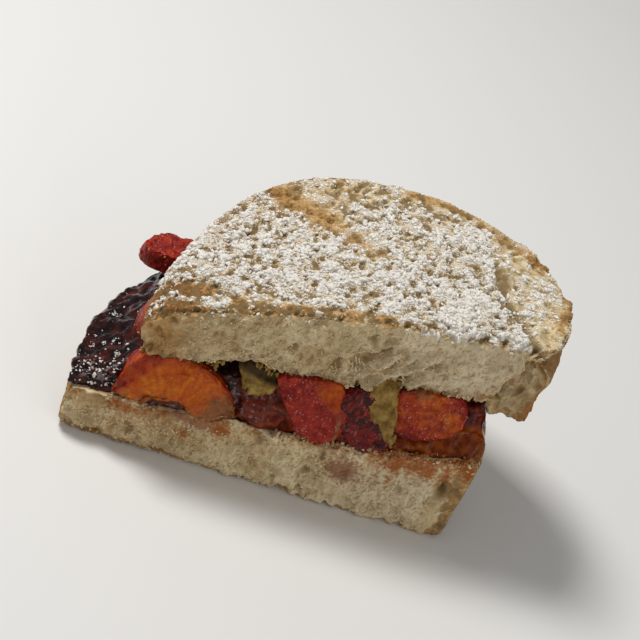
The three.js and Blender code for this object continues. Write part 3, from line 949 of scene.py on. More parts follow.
# Stains on the cut face of the bottom slice, and one spot of painted shade: place, half sizes and share.
SOAKED_SPOTS = [
    ((-28, 16.2), (4.2, 1.6), 1.4), ((-33, 13.2), (6, 2.2), 0.5), ((-21.4, 10.4), (2.0, 1.6), 1.2),
    ((-17, 15.5), (8, 3.0), 1.1), ((23.0, 14.0), (6.5, 5.5), 1.05), ((1, 16.5), (6, 2.0), 0.5)]
SYRUP_AND_SHADE_SPOTS = [
    ((-40, 13), (5, 1.6), 0.7), ((-21.4, 10), (2.6, 2.0), 0.5), ((-12.2, 14.4), (3.2, 2.2), 0.9),
    # the wide spot at X -32, Z 8 is painted shade over the left end, in the syrup's colours
    ((-32, 8), (18, 6), 0.36), ((24, 14.5), (6.0, 4.5), 0.26)]


def stains(x, z, spots):
    """The sum of a list of spots on a cut face."""
    return sum(share * spot(x, z, place, half) for place, half, share in spots)


def bread_bottom():
    """The lower slice: toasted below, crust round its back, an uneven cut face soaked by the filling."""
    points, quads, _, behind = slice_skin(
        BOTTOM_OUTLINE, lambda x: 0, bottom_top, BOTTOM_STEPS, lambda x, side: 3.0, lambda x, side: 0.8)
    x, y, z = points.T
    face = points.copy()
    from_top = bottom_top(x) - z

    # torn edges: the lower one lifted, the upper one in clumps that reach up and forwards
    low_edge = ramp(z, 3, 0) * ramp(behind, 2.2, 0)
    points[:, 2] += 1.1 * low_edge * np.abs(noise(face * ALONG_CUT, 1.7, 501))
    top_edge = ramp(from_top, 4, 0) * ramp(behind, 3.5, 0)
    clump = bump_at(x + 14, 7) + 0.5 * bump_at(x + 37, 3.5)
    up = 0.7 + 1.2 * rough(face * (1, 0.5, 0), 3.0, 502) + 2.6 * clump + 1.4 * ramp(x, 30, 38)
    points[:, 2] += top_edge * up
    points[:, 1] -= top_edge * (0.2 + 1.3 * rough(face * ON_CUT, 2.6, 503) + 0.7 * clump)

    normal = normals_of(points, quads)
    cut = cut_share(normal, behind)
    below = ramp(-normal[:, 2], 0.5, 0.8)
    wall = clip(1 - cut - below) * ramp(normal[:, 2], 0.8, 0.4)
    crumb, large = crumb_depth(face, 510)
    dent = 3.4 * spot(x, z, (50.2, 16.5), (1.3, 2.4)) + 1.6 * spot(x, z, (13.6, 9.8), (1, 1))
    lift = wall * crust_wrinkles(face, 520) + 0.12 * below * rough(face, 4, 530) - cut * (crumb + dent)
    points += normal * lift[:, None]

    # what the filling has soaked: jelly along the upper edge and in spots, syrup running down at the right
    left, right = ramp(x, -8, -28), ramp(x, 22, 36)
    soaked = 0.8 * bump_at(from_top, 1.3) * smooth(0.45 + 1.6 * rough(face, 5, 540))
    soaked += stains(x, z, SOAKED_SPOTS)
    fall = clip(1 - from_top / (10.5 + 6.0 * rough(face, 4, 544)))
    syrup = right * (1.05 * fall**0.8 + 0.75 * (fall > 0) * rough(face, 2.2, 545))
    syrup += 0.7 * bump_at(from_top, 2.6) * (1 - right) * smooth(0.4 + 1.6 * rough(face, 4, 546))
    syrup += stains(x, z, SYRUP_AND_SHADE_SPOTS)
    laid_on = ramp(normal[:, 2], 0.4, 0.7) * smooth(0.7 + 1.8 * rough(face, 3.4, 562) + (y - 3) / 3)

    # the skin: the wall, a burnt line along the base and the right edge
    crust = wall * (0.85 + 0.3 * rough(face, 5, 550))
    burnt_line = smooth((2.0 * left + 0.4 + 0.9 * rough(face, 2.5, 551) - z) / 0.8) * (0.35 + 0.65 * left)
    crust = np.maximum(crust, burnt_line * (1 - below))
    rim = 0.45 + (0.4 * bump_at(z, 3.4) + 0.3 * bump_at(from_top, 2.6)) * (1 + 0.8 * rough(face, 5, 561))
    right_edge = cut * smooth((x - 51.4 - 0.12 * (14 - z) + 1.6 * rough(face, 3, 564)) / 1.4)
    # painted shade on the cut face: darker in the large pores and dents and towards the left end; the dents
    # are olive too
    shaded = 1.3 * large + 0.5 * dent + 0.5 * left * (1.0 + rough(face, 4, 563))
    masks = {
        "toast": clip(below * (0.6 + 0.3 * rough(face, 9, 560)) + wall * rim + 0.5 * right_edge),
        "crust": clip(crust + 0.35 * below),
        "stain": clip(np.maximum(cut * soaked * (1 - 0.55 * right), laid_on * (1 - 0.5 * right))),
        "syrup": clip(np.maximum(cut * syrup, laid_on * (0.3 + 0.7 * right))),
        "hollow_and_painted_shade": clip(cut * shaded),
        "grill_and_painted_shade": clip(cut * (0.3 * dent + right_edge * (0.4 + rough(face, 2.5, 565)))),
        "floury": cut * floury(x, 50),
    }
    masks = bread_masks(len(x), masks)
    make_piece("bread_slice_bottom", points, quads, BREAD, ["bread_bottom"], masks)
    return points, quads


def crust_flap():
    """The flap: a bent box round its inner face, thin at its toothed lower edge, crust on the outside,
    with a fold and a pit on the inside."""
    pqw, quads = box_grid(40, 26, 64)
    p, q, w = pqw.T
    u, v = (p + 1) / 2, (w + 1) / 2
    points = flap_face(u, v)
    points[:, 1] += (FLAP_THICKNESS * lerp(0.55, 1, v) + FLAP_WRAP * u * v) * (q + 1) / 2
    face = points.copy()
    x, _, z = face.T
    points[:, 0] -= notch(z) * ramp(u, 0.2, 0.9)
    tooth = 1.3 * np.abs(noise(face * ALONG_CUT, 2.2, 601)) + 0.5 * rough(face * (1, 0.4, 0), 1.1, 602)
    points[:, 2] += ramp(v, 0.3, 0) * tooth
    points[:, 1] += 0.96 * ramp(np.abs(p), 0.8, 1) * np.where(q < 0, 1, -1)

    normal = normals_of(points, quads)
    inner = ramp(-normal[:, 1], 0.2, 0.7)
    crumb, large = crumb_depth(face, 615)
    fold = bump_at((x - 53.6) + 0.5 * (z - 41), 2.2)
    pit = spot(x, z, (58.5, 50.5), (1.3, 1.82))
    tip = spot(x, z, (63.2, 45.0), (2.6, 4.4))
    lift = 0.6 * rough(face, 3, 610) + 0.2 * rough(face, 1.1, 611)
    lift += inner * (0.9 * fold - 0.8 * crumb - 1.6 * pit)
    points += normal * lift[:, None]
    outer_edge = ramp(u, 0.82, 0.97)
    masks = {
        "toast": clip(0.16 + 0.4 * outer_edge + 0.35 * rough(face, 3, 620) - 0.3 * fold),
        "crust": clip((1 - inner) * 0.85 + 0.9 * tip + 0.5 * outer_edge),
        "stain": 0.75 * tip,
        "syrup": np.maximum(0.35 * ramp(v, 0.35, 0) * inner, 0.7 * tip),
        # painted shade: the inner face is darker, most in its large pores and pit, and olive in patches, less
        # on its fold
        "hollow_and_painted_shade": clip(inner * (0.3 + 0.8 * large + pit)),
        "grill_and_painted_shade": 0.35 * inner * smooth(0.5 + 2 * rough(face, 4, 622)) * (1 - fold),
    }
    make_piece("crust_flap", points, quads, BREAD, ["bread_top"], bread_masks(len(x), masks))


# ---------------------------------------------------------------- peanut butter and jelly


def layer_skin(outline, steps, inset, front, lower, upper, edge):
    """A layer of filling as the skin of a bent box, drawn in from crust and cut face, with the edge all
    round bulging like a half circle of the given depth. With it comes each point's share of the height."""
    pqw, quads = box_grid(*steps)
    p, q, w = pqw.T
    u = (p + 1) / 2
    up = (w + 1) / 2
    plan = plan_point(outline, u, (q + 1) / 2)
    round_off = edge * (1 - np.sqrt(clip(1 - np.abs(w) ** 2.4)))
    drawn_in = inset(u) + round_off
    set_back = front + round_off
    front_y = lerp(outline[0, 1], outline[12, 1], u)
    x = middle_x(outline) + (plan[:, 0] - middle_x(outline)) * (1 - drawn_in / CUT_HALF_WIDTH)
    y = front_y + set_back + (plan[:, 1] - front_y) * (1 - (drawn_in + set_back) / DEPTH)
    z = lerp(lower(x, u), upper(x, u), up)
    return np.stack([x, y, z], axis=-1), quads, up


def peanut_butter_top(x):
    """The peanut butter's upper side, just below the top slice."""
    return underside(x) - CLEARANCE


def peanut_butter_bottom(x):
    """The peanut butter's lower side."""
    return peanut_butter_top(x) - PEANUT_BUTTER_THICKNESS


def peanut_butter_sheet():
    """The layer under the top slice, with a smeared edge, set back behind the left tongue."""
    points, quads, _ = layer_skin(
        TOP_OUTLINE, (150, 100, 8), lambda u: 2.4, 2.8,
        lambda x, u: peanut_butter_bottom(x), lambda x, u: peanut_butter_top(x), 1.2)
    x, y, _ = points.T
    points[:, 1] += 8.0 * bump_at(x + 14.5, 6.5) * ramp(y, 22, 10) * ramp(y, 16, 2)
    normal = normals_of(points, quads)
    edge = ramp(np.abs(normal[:, 2]), 0.8, 0.4)
    points += normal * (edge * (0.5 * rough(points, 4, 701) + 0.2 * rough(points, 1.5, 702)))[:, None]
    make_piece("peanut_butter_sheet", points, quads, PEANUT_BUTTER, ["peanut_butter"])


# Each tongue's middle, half sizes, slant in degrees, bluntness, width of its head, foremost Y, how dark a
# shade is painted on its upper part, and seed.
TONGUES = {
    "peanut_butter_tongue_left": ((-7.2, 3.4, 30.4), (6.6, 3.4, 4.8), -6, 4.0, 1.2, 0.4, 0.9, 720),
    "peanut_butter_tongue_right": ((26.4, 2.0, 34.6), (4.0, 4.6, 11.4), 33, 2.0, 1.5, -1.3, 0, 730),
}


def peanut_butter_tongue(name):
    """A tongue that hangs over the filling: a blunt oval solid, turned about Y, drawn in below and
    smeared. Each point of a globe is pushed out by the power mean of its X and Z until it is as blunt
    as wanted; its head is wider than its tip. It leans back with the cut through the filling."""
    middle, half, slant, blunt, head, foremost, top_shade, seed = TONGUES[name]
    points, quads = globe(96, 72)
    spread = (np.abs(points[:, 0]) ** blunt + np.abs(points[:, 2]) ** blunt) ** (1 / blunt)
    points[:, [0, 2]] *= (np.hypot(points[:, 0], points[:, 2]) / (spread + TINY))[:, None]
    points[:, 0] *= lerp(0.5, head, ramp(points[:, 2], -1, 0.9))
    up = points[:, 2]
    turn = Matrix.Rotation(math.radians(slant), 3, "Y")
    placed = (points * half) @ np.array(turn) + middle
    normal = normals_of(placed, quads)
    wrinkles = 0.5 * rough(placed * (1, 1, 0.4), 1.5, seed + 1)
    wrinkles -= 0.5 * bump_at(noise(placed, 2.6, seed + 3), 0.25)
    placed += normal * (0.9 * rough(placed, 3.4, seed) + wrinkles - 0.1)[:, None]
    placed[:, 1] = np.maximum(placed[:, 1], foremost + 0.8 * rough(placed, 2.0, seed + 2))
    placed[:, 1] += lean(placed[:, 0], placed[:, 2])
    # painted shade on the tongue's upper part
    masks = {"painted_shade": top_shade * ramp(up, 0.1, 0.55)}
    make_piece(name, placed, quads, PEANUT_BUTTER, ["peanut_butter"], masks)


def jelly_top(x, u):
    """The jelly's upper side: against the peanut butter, falling to a thin bare layer at the left end."""
    return lerp(bottom_top(x) + BARE_JELLY_RISE, peanut_butter_bottom(x) - 0.2, ramp(u, 0, BARE_JELLY_SHARE))


def jelly_front(face):
    """How far forwards the jelly may come, as a Y: it bulges below and is set back above, lies further
    back beyond X 27, and is broken up by lumps and noise."""
    x, _, z = face.T
    on_cut = face * ON_CUT
    front = lerp(0.9, lerp(-0.3, 4.0, ramp(z, 24, 33)), ramp(x, 27, 31)) + lean(x, z)
    front += 1.1 * ramp(x, 26, 31) * noise(on_cut, 4.6, 818)
    front += 1.1 * noise(on_cut, 2.6, 815) + 0.4 * noise(on_cut, 1.2, 816)
    front -= 1.3 * domes(face * (1, 0.3, 1), 3.2, 817, 0.75) * ramp(x, -12, -8)
    return front + 0.8 - 1.8 * bump_at(x + 29, 8) + 1.0 * bump_at(x + 7, 9) * ramp(z, 25, 27)


def jelly_layer():
    """The jelly between bottom slice and peanut butter: lumps of fruit as round bumps of two sizes, its
    front bulging forwards below and set back above, thin and orange red towards the right end."""
    points, quads, up = layer_skin(
        BOTTOM_OUTLINE, (176, 100, 22), lambda u: lerp(-0.8, 2.6, ramp(u, 0, 0.3)), 0.6,
        lambda x, u: bottom_top(x) + 0.2, jelly_top, 1.2)
    points[:, 1] += 1.6 * ramp(up, 0.25, 0.85) * ramp(points[:, 1], 6, 1)
    face = points.copy()
    x, y, z = face.T
    normal = normals_of(points, quads)
    lumps = 1.3 * domes(face * (1, 1, 1.2), 5.6, 801, 0.8) + 0.4 * domes(face, 2.8, 805, 0.8) - 1.0
    lumps += 0.5 * noise(face, 2.6, 810) + 0.14 * noise(face, 1.3, 811)
    points += normal * (ramp(normal[:, 2], -0.9, -0.6) * lumps)[:, None]
    points[:, 2] = np.maximum(points[:, 2], np.minimum(bottom_top(points[:, 0]) + 0.1, z))
    points[:, 1] = np.maximum(points[:, 1], jelly_front(face))
    points[:, 0] -= 2.6 * ramp(x, 40, 52) * ramp(up, 0.3, 0.8)

    # pale mauve grain: sugar on the bare left end, with painted glints on its lumps
    powder_and_painted_glint = 0.6 * ramp(lumps, -0.5, 0.3) * spot(x, y, (-47, 2), (5, 6))
    # painted glints on the front at X -8 and X -29
    powder_and_painted_glint += 0.3 * (bump_at(x + 8, 7) + bump_at(x + 29, 7)) * ramp(y, 9, 5)
    over = z - bottom_top(x)
    thin = 1.5 * ramp(x, 26, 33) * ramp(over, 12, 6) + 0.3 * bump_at(x - 20, 4) + 0.22 * bump_at(x - 6, 30)
    thin += 0.35 * bump_at(over, 2.5) * bump_at(x + 10, 16) + 0.35 * bump_at(x + 29, 7)
    masks = {"thin": clip(thin * ramp(y, 12, 4)), "powder_and_painted_glint": powder_and_painted_glint, "red": ramp(x, -13, -8) * ramp(y, 14, 6)}
    make_piece("jelly_layer", points, quads, JELLY, ["jelly"], masks)
    return points, quads


# ---------------------------------------------------------------- strawberries

# A berry's length and radius, the middle of the whole berry, its turn about X, Y and Z in degrees, the
# kept span of its own Z, how far back the sandwich's cut lies in it if it went through, then how much
# orange flesh its cut faces show, how pale a film covers it, how deep in the jam it lies, how much of its
# pale dots and fibres shows, which are in part painted glints, and how blunt its ends are.
Berry = collections.namedtuple(
    "Berry", "length radius middle turn kept cut_at flesh film jam speck blunt", defaults=(0, 0, 0.8, 2.5))
BERRIES = {
    "strawberry_front_left": Berry(33, 15.6, (-26, 2, 15.6), (0, 4, 0), (0, 20), 0, 1.0, speck=0.2),
    "strawberry_middle": Berry(25, 9.8, (8.3, 5, 28.8), (0, 55, 8), (-6.6, 20), 0, 0.15),
    "strawberry_jammed": Berry(22, 8.2, (23.5, 5, 29.5), (10, 52, 0), (-6.5, 6.5), 0, 0.1, jam=0.75),
    "strawberry_right": Berry(21, 8.8, (37.8, 7, 37.0), (0, -18, 0), (-7.2, 7.0), 1.5, 0.5, speck=0.9),
    "strawberry_left": Berry(24, 8.5, (-32, 27, 23), (0, 0, 75), (-5, 5), None, 0.5, film=0.4),
    "strawberry_back_left": Berry(30, 5.6, (-30, 51.4, 26.6), (0, 4, -2), (-3.2, 3.4), None, 0.12, blunt=5.0),
    "strawberry_back_right": Berry(26, 9, (23, 54.5, 31), (0, 0, 62), (-4.5, 5), None, 0.9),
}
# The plane that ends the back left berry: its direction in the berry's own X and Y, and its distance.
END_PLANE = np.array([-0.78, 0.62, 0])
END_DISTANCE = 10.2
AT_POLE = 1e-9  # the least length of a direction from a berry's axis, which has none at its ends


def turned(degrees):
    """The matrix of a turn about X, then Y, then Z."""
    x, y, z = (Matrix.Rotation(math.radians(d), 3, axis) for d, axis in zip(degrees, "XYZ"))
    return np.array(z @ y @ x)


def squared(own):
    """A berry's points with its round section pushed out towards a square, by the power mean of four of
    its two directions, and its end cut off by a plane."""
    section = unit(own[:, 1:], AT_POLE)
    own[:, 1:] /= np.sum(section**4, axis=1, keepdims=True) ** 0.25
    over = soft_above(own @ END_PLANE - END_DISTANCE, 0, 0.4)
    return own - over[:, None] * END_PLANE


def strawberry(name, seed):
    """A piece of strawberry: a blunt oval profile, fuller towards the shoulder, carried round its axis,
    then pressed flat by the knife's planes and by the bread above and below. With the mesh comes which
    points are cut flesh."""
    berry = BERRIES[name]
    points, quads = globe(128, 96)
    t = (1 - points[:, 2]) / 2
    fullness = np.sqrt(clip(1 - np.abs(2 * t**0.8 - 1) ** berry.blunt))
    section = unit(points[:, :2], AT_POLE) * berry.radius * fullness[:, None]
    points = np.stack([(t - 0.5) * berry.length, section[:, 1], section[:, 0]], axis=-1)
    normal = normals_of(points, quads)
    if np.sum(normal * points) < 0:
        quads = quads[:, ::-1]
        normal = -normal
    skin = 0.35 * rough(points, 4.5, seed + 10) - 0.42 * domes(points, 2.6, seed, 0.33)
    own = points + normal * skin[:, None]
    low, high = berry.kept
    flesh = (own[:, 2] < low) | (own[:, 2] > high)
    if name == "strawberry_back_left":
        own = squared(own)
    softness = 0.35 if berry.cut_at is None else 0.9
    own[:, 2] = soft_above(own[:, 2], low, softness)
    own[:, 2] = -soft_above(-own[:, 2], -high, softness)

    placed = own @ turned(berry.turn).T + berry.middle
    x = placed[:, 0]
    placed[:, 2] = -soft_above(-placed[:, 2], CLEARANCE - underside(x), 0.6)
    ragged = 0.9 * rough(placed * (1, 0.3, 0), 3.2, seed + 6)
    if name == "strawberry_front_left":
        ragged += 3.4 * ramp(x, -17.5, -10.5) + 4.8 * bump_at(x + 28, 7)
    placed[:, 2] = soft_above(placed[:, 2], bottom_top(x) + 0.1 + ragged, 0.6)
    if berry.cut_at is not None:
        front = berry.cut_at - 0.6 + lean(x, placed[:, 2]) + 1.0 * rough(placed, 5.0, seed + 5)
        flesh |= placed[:, 1] < front
        placed[:, 1] = soft_above(placed[:, 1], front, 0.8)
    normal = normals_of(placed, quads)
    wave = 0.8 * rough(placed, 3.4, seed + 20) + 0.45 * rough(placed, 1.4, seed + 21) + 0.15
    placed += normal * np.where(flesh, wave, wave * 0.4)[:, None]
    placed[:, 0] += 0.7 * flesh * rough(placed * (0.3, 1, 1), 2.4, seed + 23)
    placed[:, 2] += 0.5 * flesh * rough(placed * (1, 1, 0.3), 2.0, seed + 24)
    return placed, quads, flesh.astype(float)


def strawberry_masks(name, placed, cut, seed):
    """Masks of a berry piece: how orange, pale and dark each point is, and the streaks on a cut face,
    which run out from its lower middle."""
    berry = BERRIES[name]
    x, y, z = placed.T
    aside, above = x - berry.middle[0], z - z.min()
    spokes = np.stack([
        15 * np.arctan2(above + 1.0, aside) + 0.5 * noise(placed, 4, seed + 31),
        0.34 * np.hypot(aside, above), 0 * x], axis=-1)
    ray = clip(1.7 * rough(spokes, 1.0, seed + 30, 2) + 0.35) * cut * berry.flesh
    flesh, film, jam, speck = berry.flesh * cut, berry.film + 0 * x, berry.jam + 0 * x, berry.speck + 0 * x
    if name == "strawberry_front_left":
        edge = np.hypot((x + 25.0) / 16.8, (z - 13.0) / 18.2) + 0.1 * rough(placed, 3, seed + 35)
        rim = ramp(edge, 0.88, 0.98) * ramp(x, -8, -20)
        flesh = lerp(0.4, 1 - 0.6 * rim, cut) * ramp(y, 9, 4)
        ray *= (1 - rim) * clip(0.7 + 0.9 * rough(placed, 4, seed + 34))
        film = cut * (ramp(x, -22, -15) * ramp(z, 29, 22) + 0.4 * ramp(z, 21.5, 18.5))
        jam = cut * (0.32 * ramp(x, -19, -12) + 0.5 * spot(x, z, (-27, 18.5), (6, 1.8)))
    elif name == "strawberry_middle":
        triangle = ramp(x, 5, 8) * ramp(x, 17, 14) * ramp(z + 0.7 * x, 37.3, 41.3)
        membrane = bump_at(x - 17.0 + 0.12 * (z - 20), 0.8) * ramp(z, 33, 29)
        flesh = cut * np.maximum(0.06, 0.52 * triangle)
        film = clip(0.9 * membrane * cut)
        speck = 0.9 * (1 - triangle)
    elif name == "strawberry_right":
        flesh = cut * (0.42 + 0.5 * rough(placed, 6, seed + 37))
        film = 0.1 + 0.6 * ramp(z, 40, 43) * ramp(x, 41, 33)
        jam = 0.5 * ramp(z, 33, 30)
    elif name == "strawberry_jammed":
        jam = 0.6 + 0.3 * rough(placed, 2.2, seed + 33)
    return {"flesh": flesh, "ray": ray, "tan": film, "deep": jam, "speck": speck}


def strawberries():
    """Every piece of strawberry, each with seeds of its own for its noise."""
    made = []
    for k, name in enumerate(BERRIES):
        seed = 900 + 40 * k
        placed, quads, flesh = strawberry(name, seed)
        masks = strawberry_masks(name, placed, flesh, seed)
        made.append((placed, quads, flesh))
        made_name = name.replace("strawberry", "berry")
        make_piece(made_name, placed, quads, STRAWBERRY, [name], masks)
    return made


# ---------------------------------------------------------------- small repeated pieces

ANY_TURN = 6.3  # a whole turn in radians, and a little more
GOLDEN_RATIO = (1 + 5**0.5) / 2
ICOSAHEDRON = (
    np.array([
        (-1, GOLDEN_RATIO, 0), (1, GOLDEN_RATIO, 0), (-1, -GOLDEN_RATIO, 0), (1, -GOLDEN_RATIO, 0),
        (0, -1, GOLDEN_RATIO), (0, 1, GOLDEN_RATIO), (0, -1, -GOLDEN_RATIO), (0, 1, -GOLDEN_RATIO),
        (GOLDEN_RATIO, 0, -1), (GOLDEN_RATIO, 0, 1), (-GOLDEN_RATIO, 0, -1), (-GOLDEN_RATIO, 0, 1),
    ]) / math.hypot(1, GOLDEN_RATIO),
    np.array([
        (0, 11, 5), (0, 5, 1), (0, 1, 7), (0, 7, 10), (0, 10, 11), (1, 5, 9), (5, 11, 4), (11, 10, 2),
        (10, 7, 6), (7, 1, 8), (3, 9, 4), (3, 4, 2), (3, 2, 6), (3, 6, 8), (3, 8, 9), (4, 9, 5),
        (2, 4, 11), (6, 2, 10), (8, 6, 7), (9, 8, 1)]))
OCTAHEDRON = (
    np.array([(1.0, 0, 0), (-1, 0, 0), (0, 1, 0), (0, -1, 0), (0, 0, 1), (0, 0, -1)]),
    np.array([(0, 2, 4), (2, 1, 4), (1, 3, 4), (3, 0, 4), (2, 0, 5), (1, 2, 5), (3, 1, 5), (0, 3, 5)]))


def scattered(centres, normals, sizes, turns, uneven, draw, solid=ICOSAHEDRON):
    """One mesh of many small lumps: each is a solid with its corners moved in or out by chance, stretched
    to three sizes, turned about the surface's normal and set on the surface."""
    corners, sides = solid
    count = len(centres)
    shape = corners[None] * (1 + uneven * (draw.random((count, len(corners), 1)) * 2 - 1))
    shape = shape * sizes[:, None, :]
    helper = np.where(np.abs(normals[:, 2:]) < 0.9, (0.0, 0.0, 1.0), (1.0, 0.0, 0.0))
    side = unit(np.cross(normals, helper))
    other = np.cross(normals, side)
    along_it = np.cos(turns)[:, None] * side + np.sin(turns)[:, None] * other
    basis = np.stack([along_it, np.cross(normals, along_it), normals], axis=1)
    points = np.einsum("nij,njk->nik", shape, basis) + centres[:, None, :]
    faces = sides[None] + len(corners) * np.arange(count)[:, None, None]
    return points.reshape(-1, 3), faces.reshape(-1, 3)


def three_sizes(wide, long, thick):
    """Sizes of lumps from their widths, with length and thickness as multiples of it."""
    return np.stack([wide * long, wide, wide * thick], axis=-1)


def spots_on(points, quads, weights, count, draw):
    """Random places on a mesh: quads drawn by their weight times their area, a point in each by its two
    shares of the way, and the normal there."""
    crossed = crossed_diagonals(points, quads)
    chance = np.cumsum(weights * np.linalg.norm(crossed, axis=1))
    chosen = np.searchsorted(chance, draw.random(count) * chance[-1])
    a, b, c, d = (points[quads[chosen, k]] for k in range(4))
    s, t = draw.random((2, count, 1))
    return lerp(lerp(a, b, s), lerp(d, c, s), t), unit(crossed[chosen])


SUGAR_CLUMPS = 9000
SUGAR_FINE = 22000
JELLY_CLUMPS = 85


def sugared(centre, up):
    """How likely sugar lies at each place of the top slice: on its upper side, down its rounded edge
    where it faces up enough, by the sugar cover, and more on raised places than in pores."""
    x, _, z = centre.T
    left, right = ramp(x, -8, -24), ramp(x, 8, 24)
    weights = ramp(up, 0.3 - 0.25 * left, 0.7 - 0.25 * left)
    weights = weights * (z > top_face(x) - 2.8 - 3.6 * left - 0.8 * right)
    behind = behind_front(centre)
    weights = weights * ((behind > 1.6) | (up > 0.72 - 0.4 * right)) * (behind > -0.6)
    raised = (0.03 + smooth(face_bumps(centre) * 2.6 + 0.3)) * (1 - 0.95 * face_pores(centre))
    return weights * raised


def powdered_sugar(top_points, top_quads, jelly_points, jelly_quads):
    """Fine grains and clumps of sugar: most on the toasted face, and some clumps on the bare jelly at the
    left end."""
    draw = np.random.default_rng(31)
    centre = top_points[top_quads].mean(axis=1)
    cover = sugar_cover(centre)
    weights = sugared(centre, unit(crossed_diagonals(top_points, top_quads))[:, 2]) * cover
    place, normal = spots_on(top_points, top_quads, weights, SUGAR_FINE, draw)
    wide = 0.09 + 0.12 * draw.random(SUGAR_FINE) ** 2
    sizes = three_sizes(wide, 1 + draw.random(SUGAR_FINE), 0.8)
    turns = ANY_TURN * draw.random(SUGAR_FINE)
    points, faces = scattered(place + 0.04 * normal, normal, sizes, turns, 0.3, draw, OCTAHEDRON)
    make_piece("powdered_sugar_fine", points, faces, SUGAR)

    place, normal = spots_on(top_points, top_quads, weights * cover**0.6, SUGAR_CLUMPS, draw)
    thick = lerp(0.8, 1.1, np.clip(sugar_cover(place), 0.1, 1))
    wide = (0.17 + 0.46 * draw.random(SUGAR_CLUMPS) ** 2.6) * thick
    sizes = three_sizes(wide, 1 + 1.1 * draw.random(SUGAR_CLUMPS), 0.7)
    turns = 2 * math.pi * draw.random(SUGAR_CLUMPS)

    x, y, z = jelly_points[jelly_quads].mean(axis=1).T
    weights = spot(x, y, (-47.5, 2), (6, 7)) * (z > bottom_top(x) + 1.2)
    on_jelly, jelly_normal = spots_on(jelly_points, jelly_quads, weights, JELLY_CLUMPS, draw)
    wide = 0.16 + 0.3 * draw.random(JELLY_CLUMPS) ** 2
    points, faces = scattered(
        np.concatenate([place + 0.12 * normal, on_jelly + 0.05 * jelly_normal]),
        np.concatenate([normal, jelly_normal]), np.concatenate([sizes, three_sizes(wide, 1.3, 0.6)]),
        np.concatenate([turns, 2 * math.pi * draw.random(JELLY_CLUMPS)]), 0.36, draw)
    make_piece("powdered_sugar", points, faces, SUGAR)


SEEDS_TRIED = 60
SEED_SPACING = 2.0
SEED_SIZE = (0.5, 0.32, 0.22)


def strawberry_seeds(made):
    """Seeds on the berries' skins, each a small drop along the berry, kept where none is too near."""
    draw = np.random.default_rng(57)
    places, normals = [], []
    for placed, quads, flesh in made:
        skin = 1 - flesh[quads].max(axis=1)
        place, outward = spots_on(placed, quads, skin, SEEDS_TRIED, draw)
        apart = np.linalg.norm(place[:, None] - place[None], axis=-1) + 1e3 * np.tri(len(place)).T
        keep = apart.min(axis=1) > SEED_SPACING
        places.append(place[keep])
        normals.append(outward[keep])
    places, normals = np.concatenate(places), np.concatenate(normals)
    count = len(places)
    sizes, turns = np.tile(SEED_SIZE, (count, 1)), ANY_TURN * draw.random(count)
    points, faces = scattered(places - 0.02 * normals, normals, sizes, turns, 0.12, draw)
    make_piece("strawberry_seeds", points, faces, SEED)


CRUMBS_A_SLICE = 1300


def loose_crumbs(slices):
    """Bits of torn crumb on the cut faces: on the top slice all but its left end, on the bottom slice
    below its soaked edge, which reaches lower at the right."""
    draw = np.random.default_rng(83)
    points, faces = [], []
    for skin, quads in slices:
        centre = skin[quads].mean(axis=1)
        x, y, z = centre.T
        facing = -unit(crossed_diagonals(skin, quads))[:, 1]
        dry = ramp(bottom_top(x) - 1 - 5 * ramp(x, 20, 28) - z, 0, 4) * (x < 49) * (np.abs(x - 22.8) > 5)
        weights = ramp(facing, 0.1, 0.4) * ramp(y, 9, 6) * np.where(z < 26, dry, ramp(x, -34, -24))
        place, normal = spots_on(skin, quads, weights, CRUMBS_A_SLICE, draw)
        normal = unit(normal + 0.7 * (draw.random((CRUMBS_A_SLICE, 3)) - 0.5))
        wide = 0.12 + 0.24 * draw.random(CRUMBS_A_SLICE) ** 1.5
        sizes = three_sizes(wide, 1.2 + 1.6 * draw.random(CRUMBS_A_SLICE), 0.8)
        turns = ANY_TURN * draw.random(CRUMBS_A_SLICE)
        lumps, sides = scattered(place + 0.1 * normal, normal, sizes, turns, 0.3, draw)
        faces.append(sides + sum(len(p) for p in points))
        points.append(lumps)
    points, faces = np.concatenate(points), np.concatenate(faces)
    make_piece("loose_crumbs", points, faces, BREAD, (), bread_masks(len(points)))


TORN_THREADS = 110
THREAD_SLANT = math.radians(48)


def torn_threads():
    """Long thin threads of crumb that lean across the torn part of the top slice's cut face."""
    draw = np.random.default_rng(67)
    x = TORN_X + 11 * draw.normal(size=TORN_THREADS)
    z = underside(x) + 0.5 + 9 * draw.random(TORN_THREADS) ** 1.5
    place = np.stack([x, 2.6 + 0.05 * (x + 41) + 0.5 * draw.random(TORN_THREADS), z], axis=-1)
    wide = 0.12 + 0.12 * draw.random(TORN_THREADS)
    sizes = three_sizes(wide, 4 + 5 * draw.random(TORN_THREADS), 1)
    slant = THREAD_SLANT + 0.35 * draw.normal(size=TORN_THREADS)
    normal = np.tile((0.0, -1.0, 0.0), (TORN_THREADS, 1))
    points, faces = scattered(place, normal, sizes, -slant, 0.25, draw)
    make_piece("torn_threads", points, faces, BREAD, (), bread_masks(len(points)))


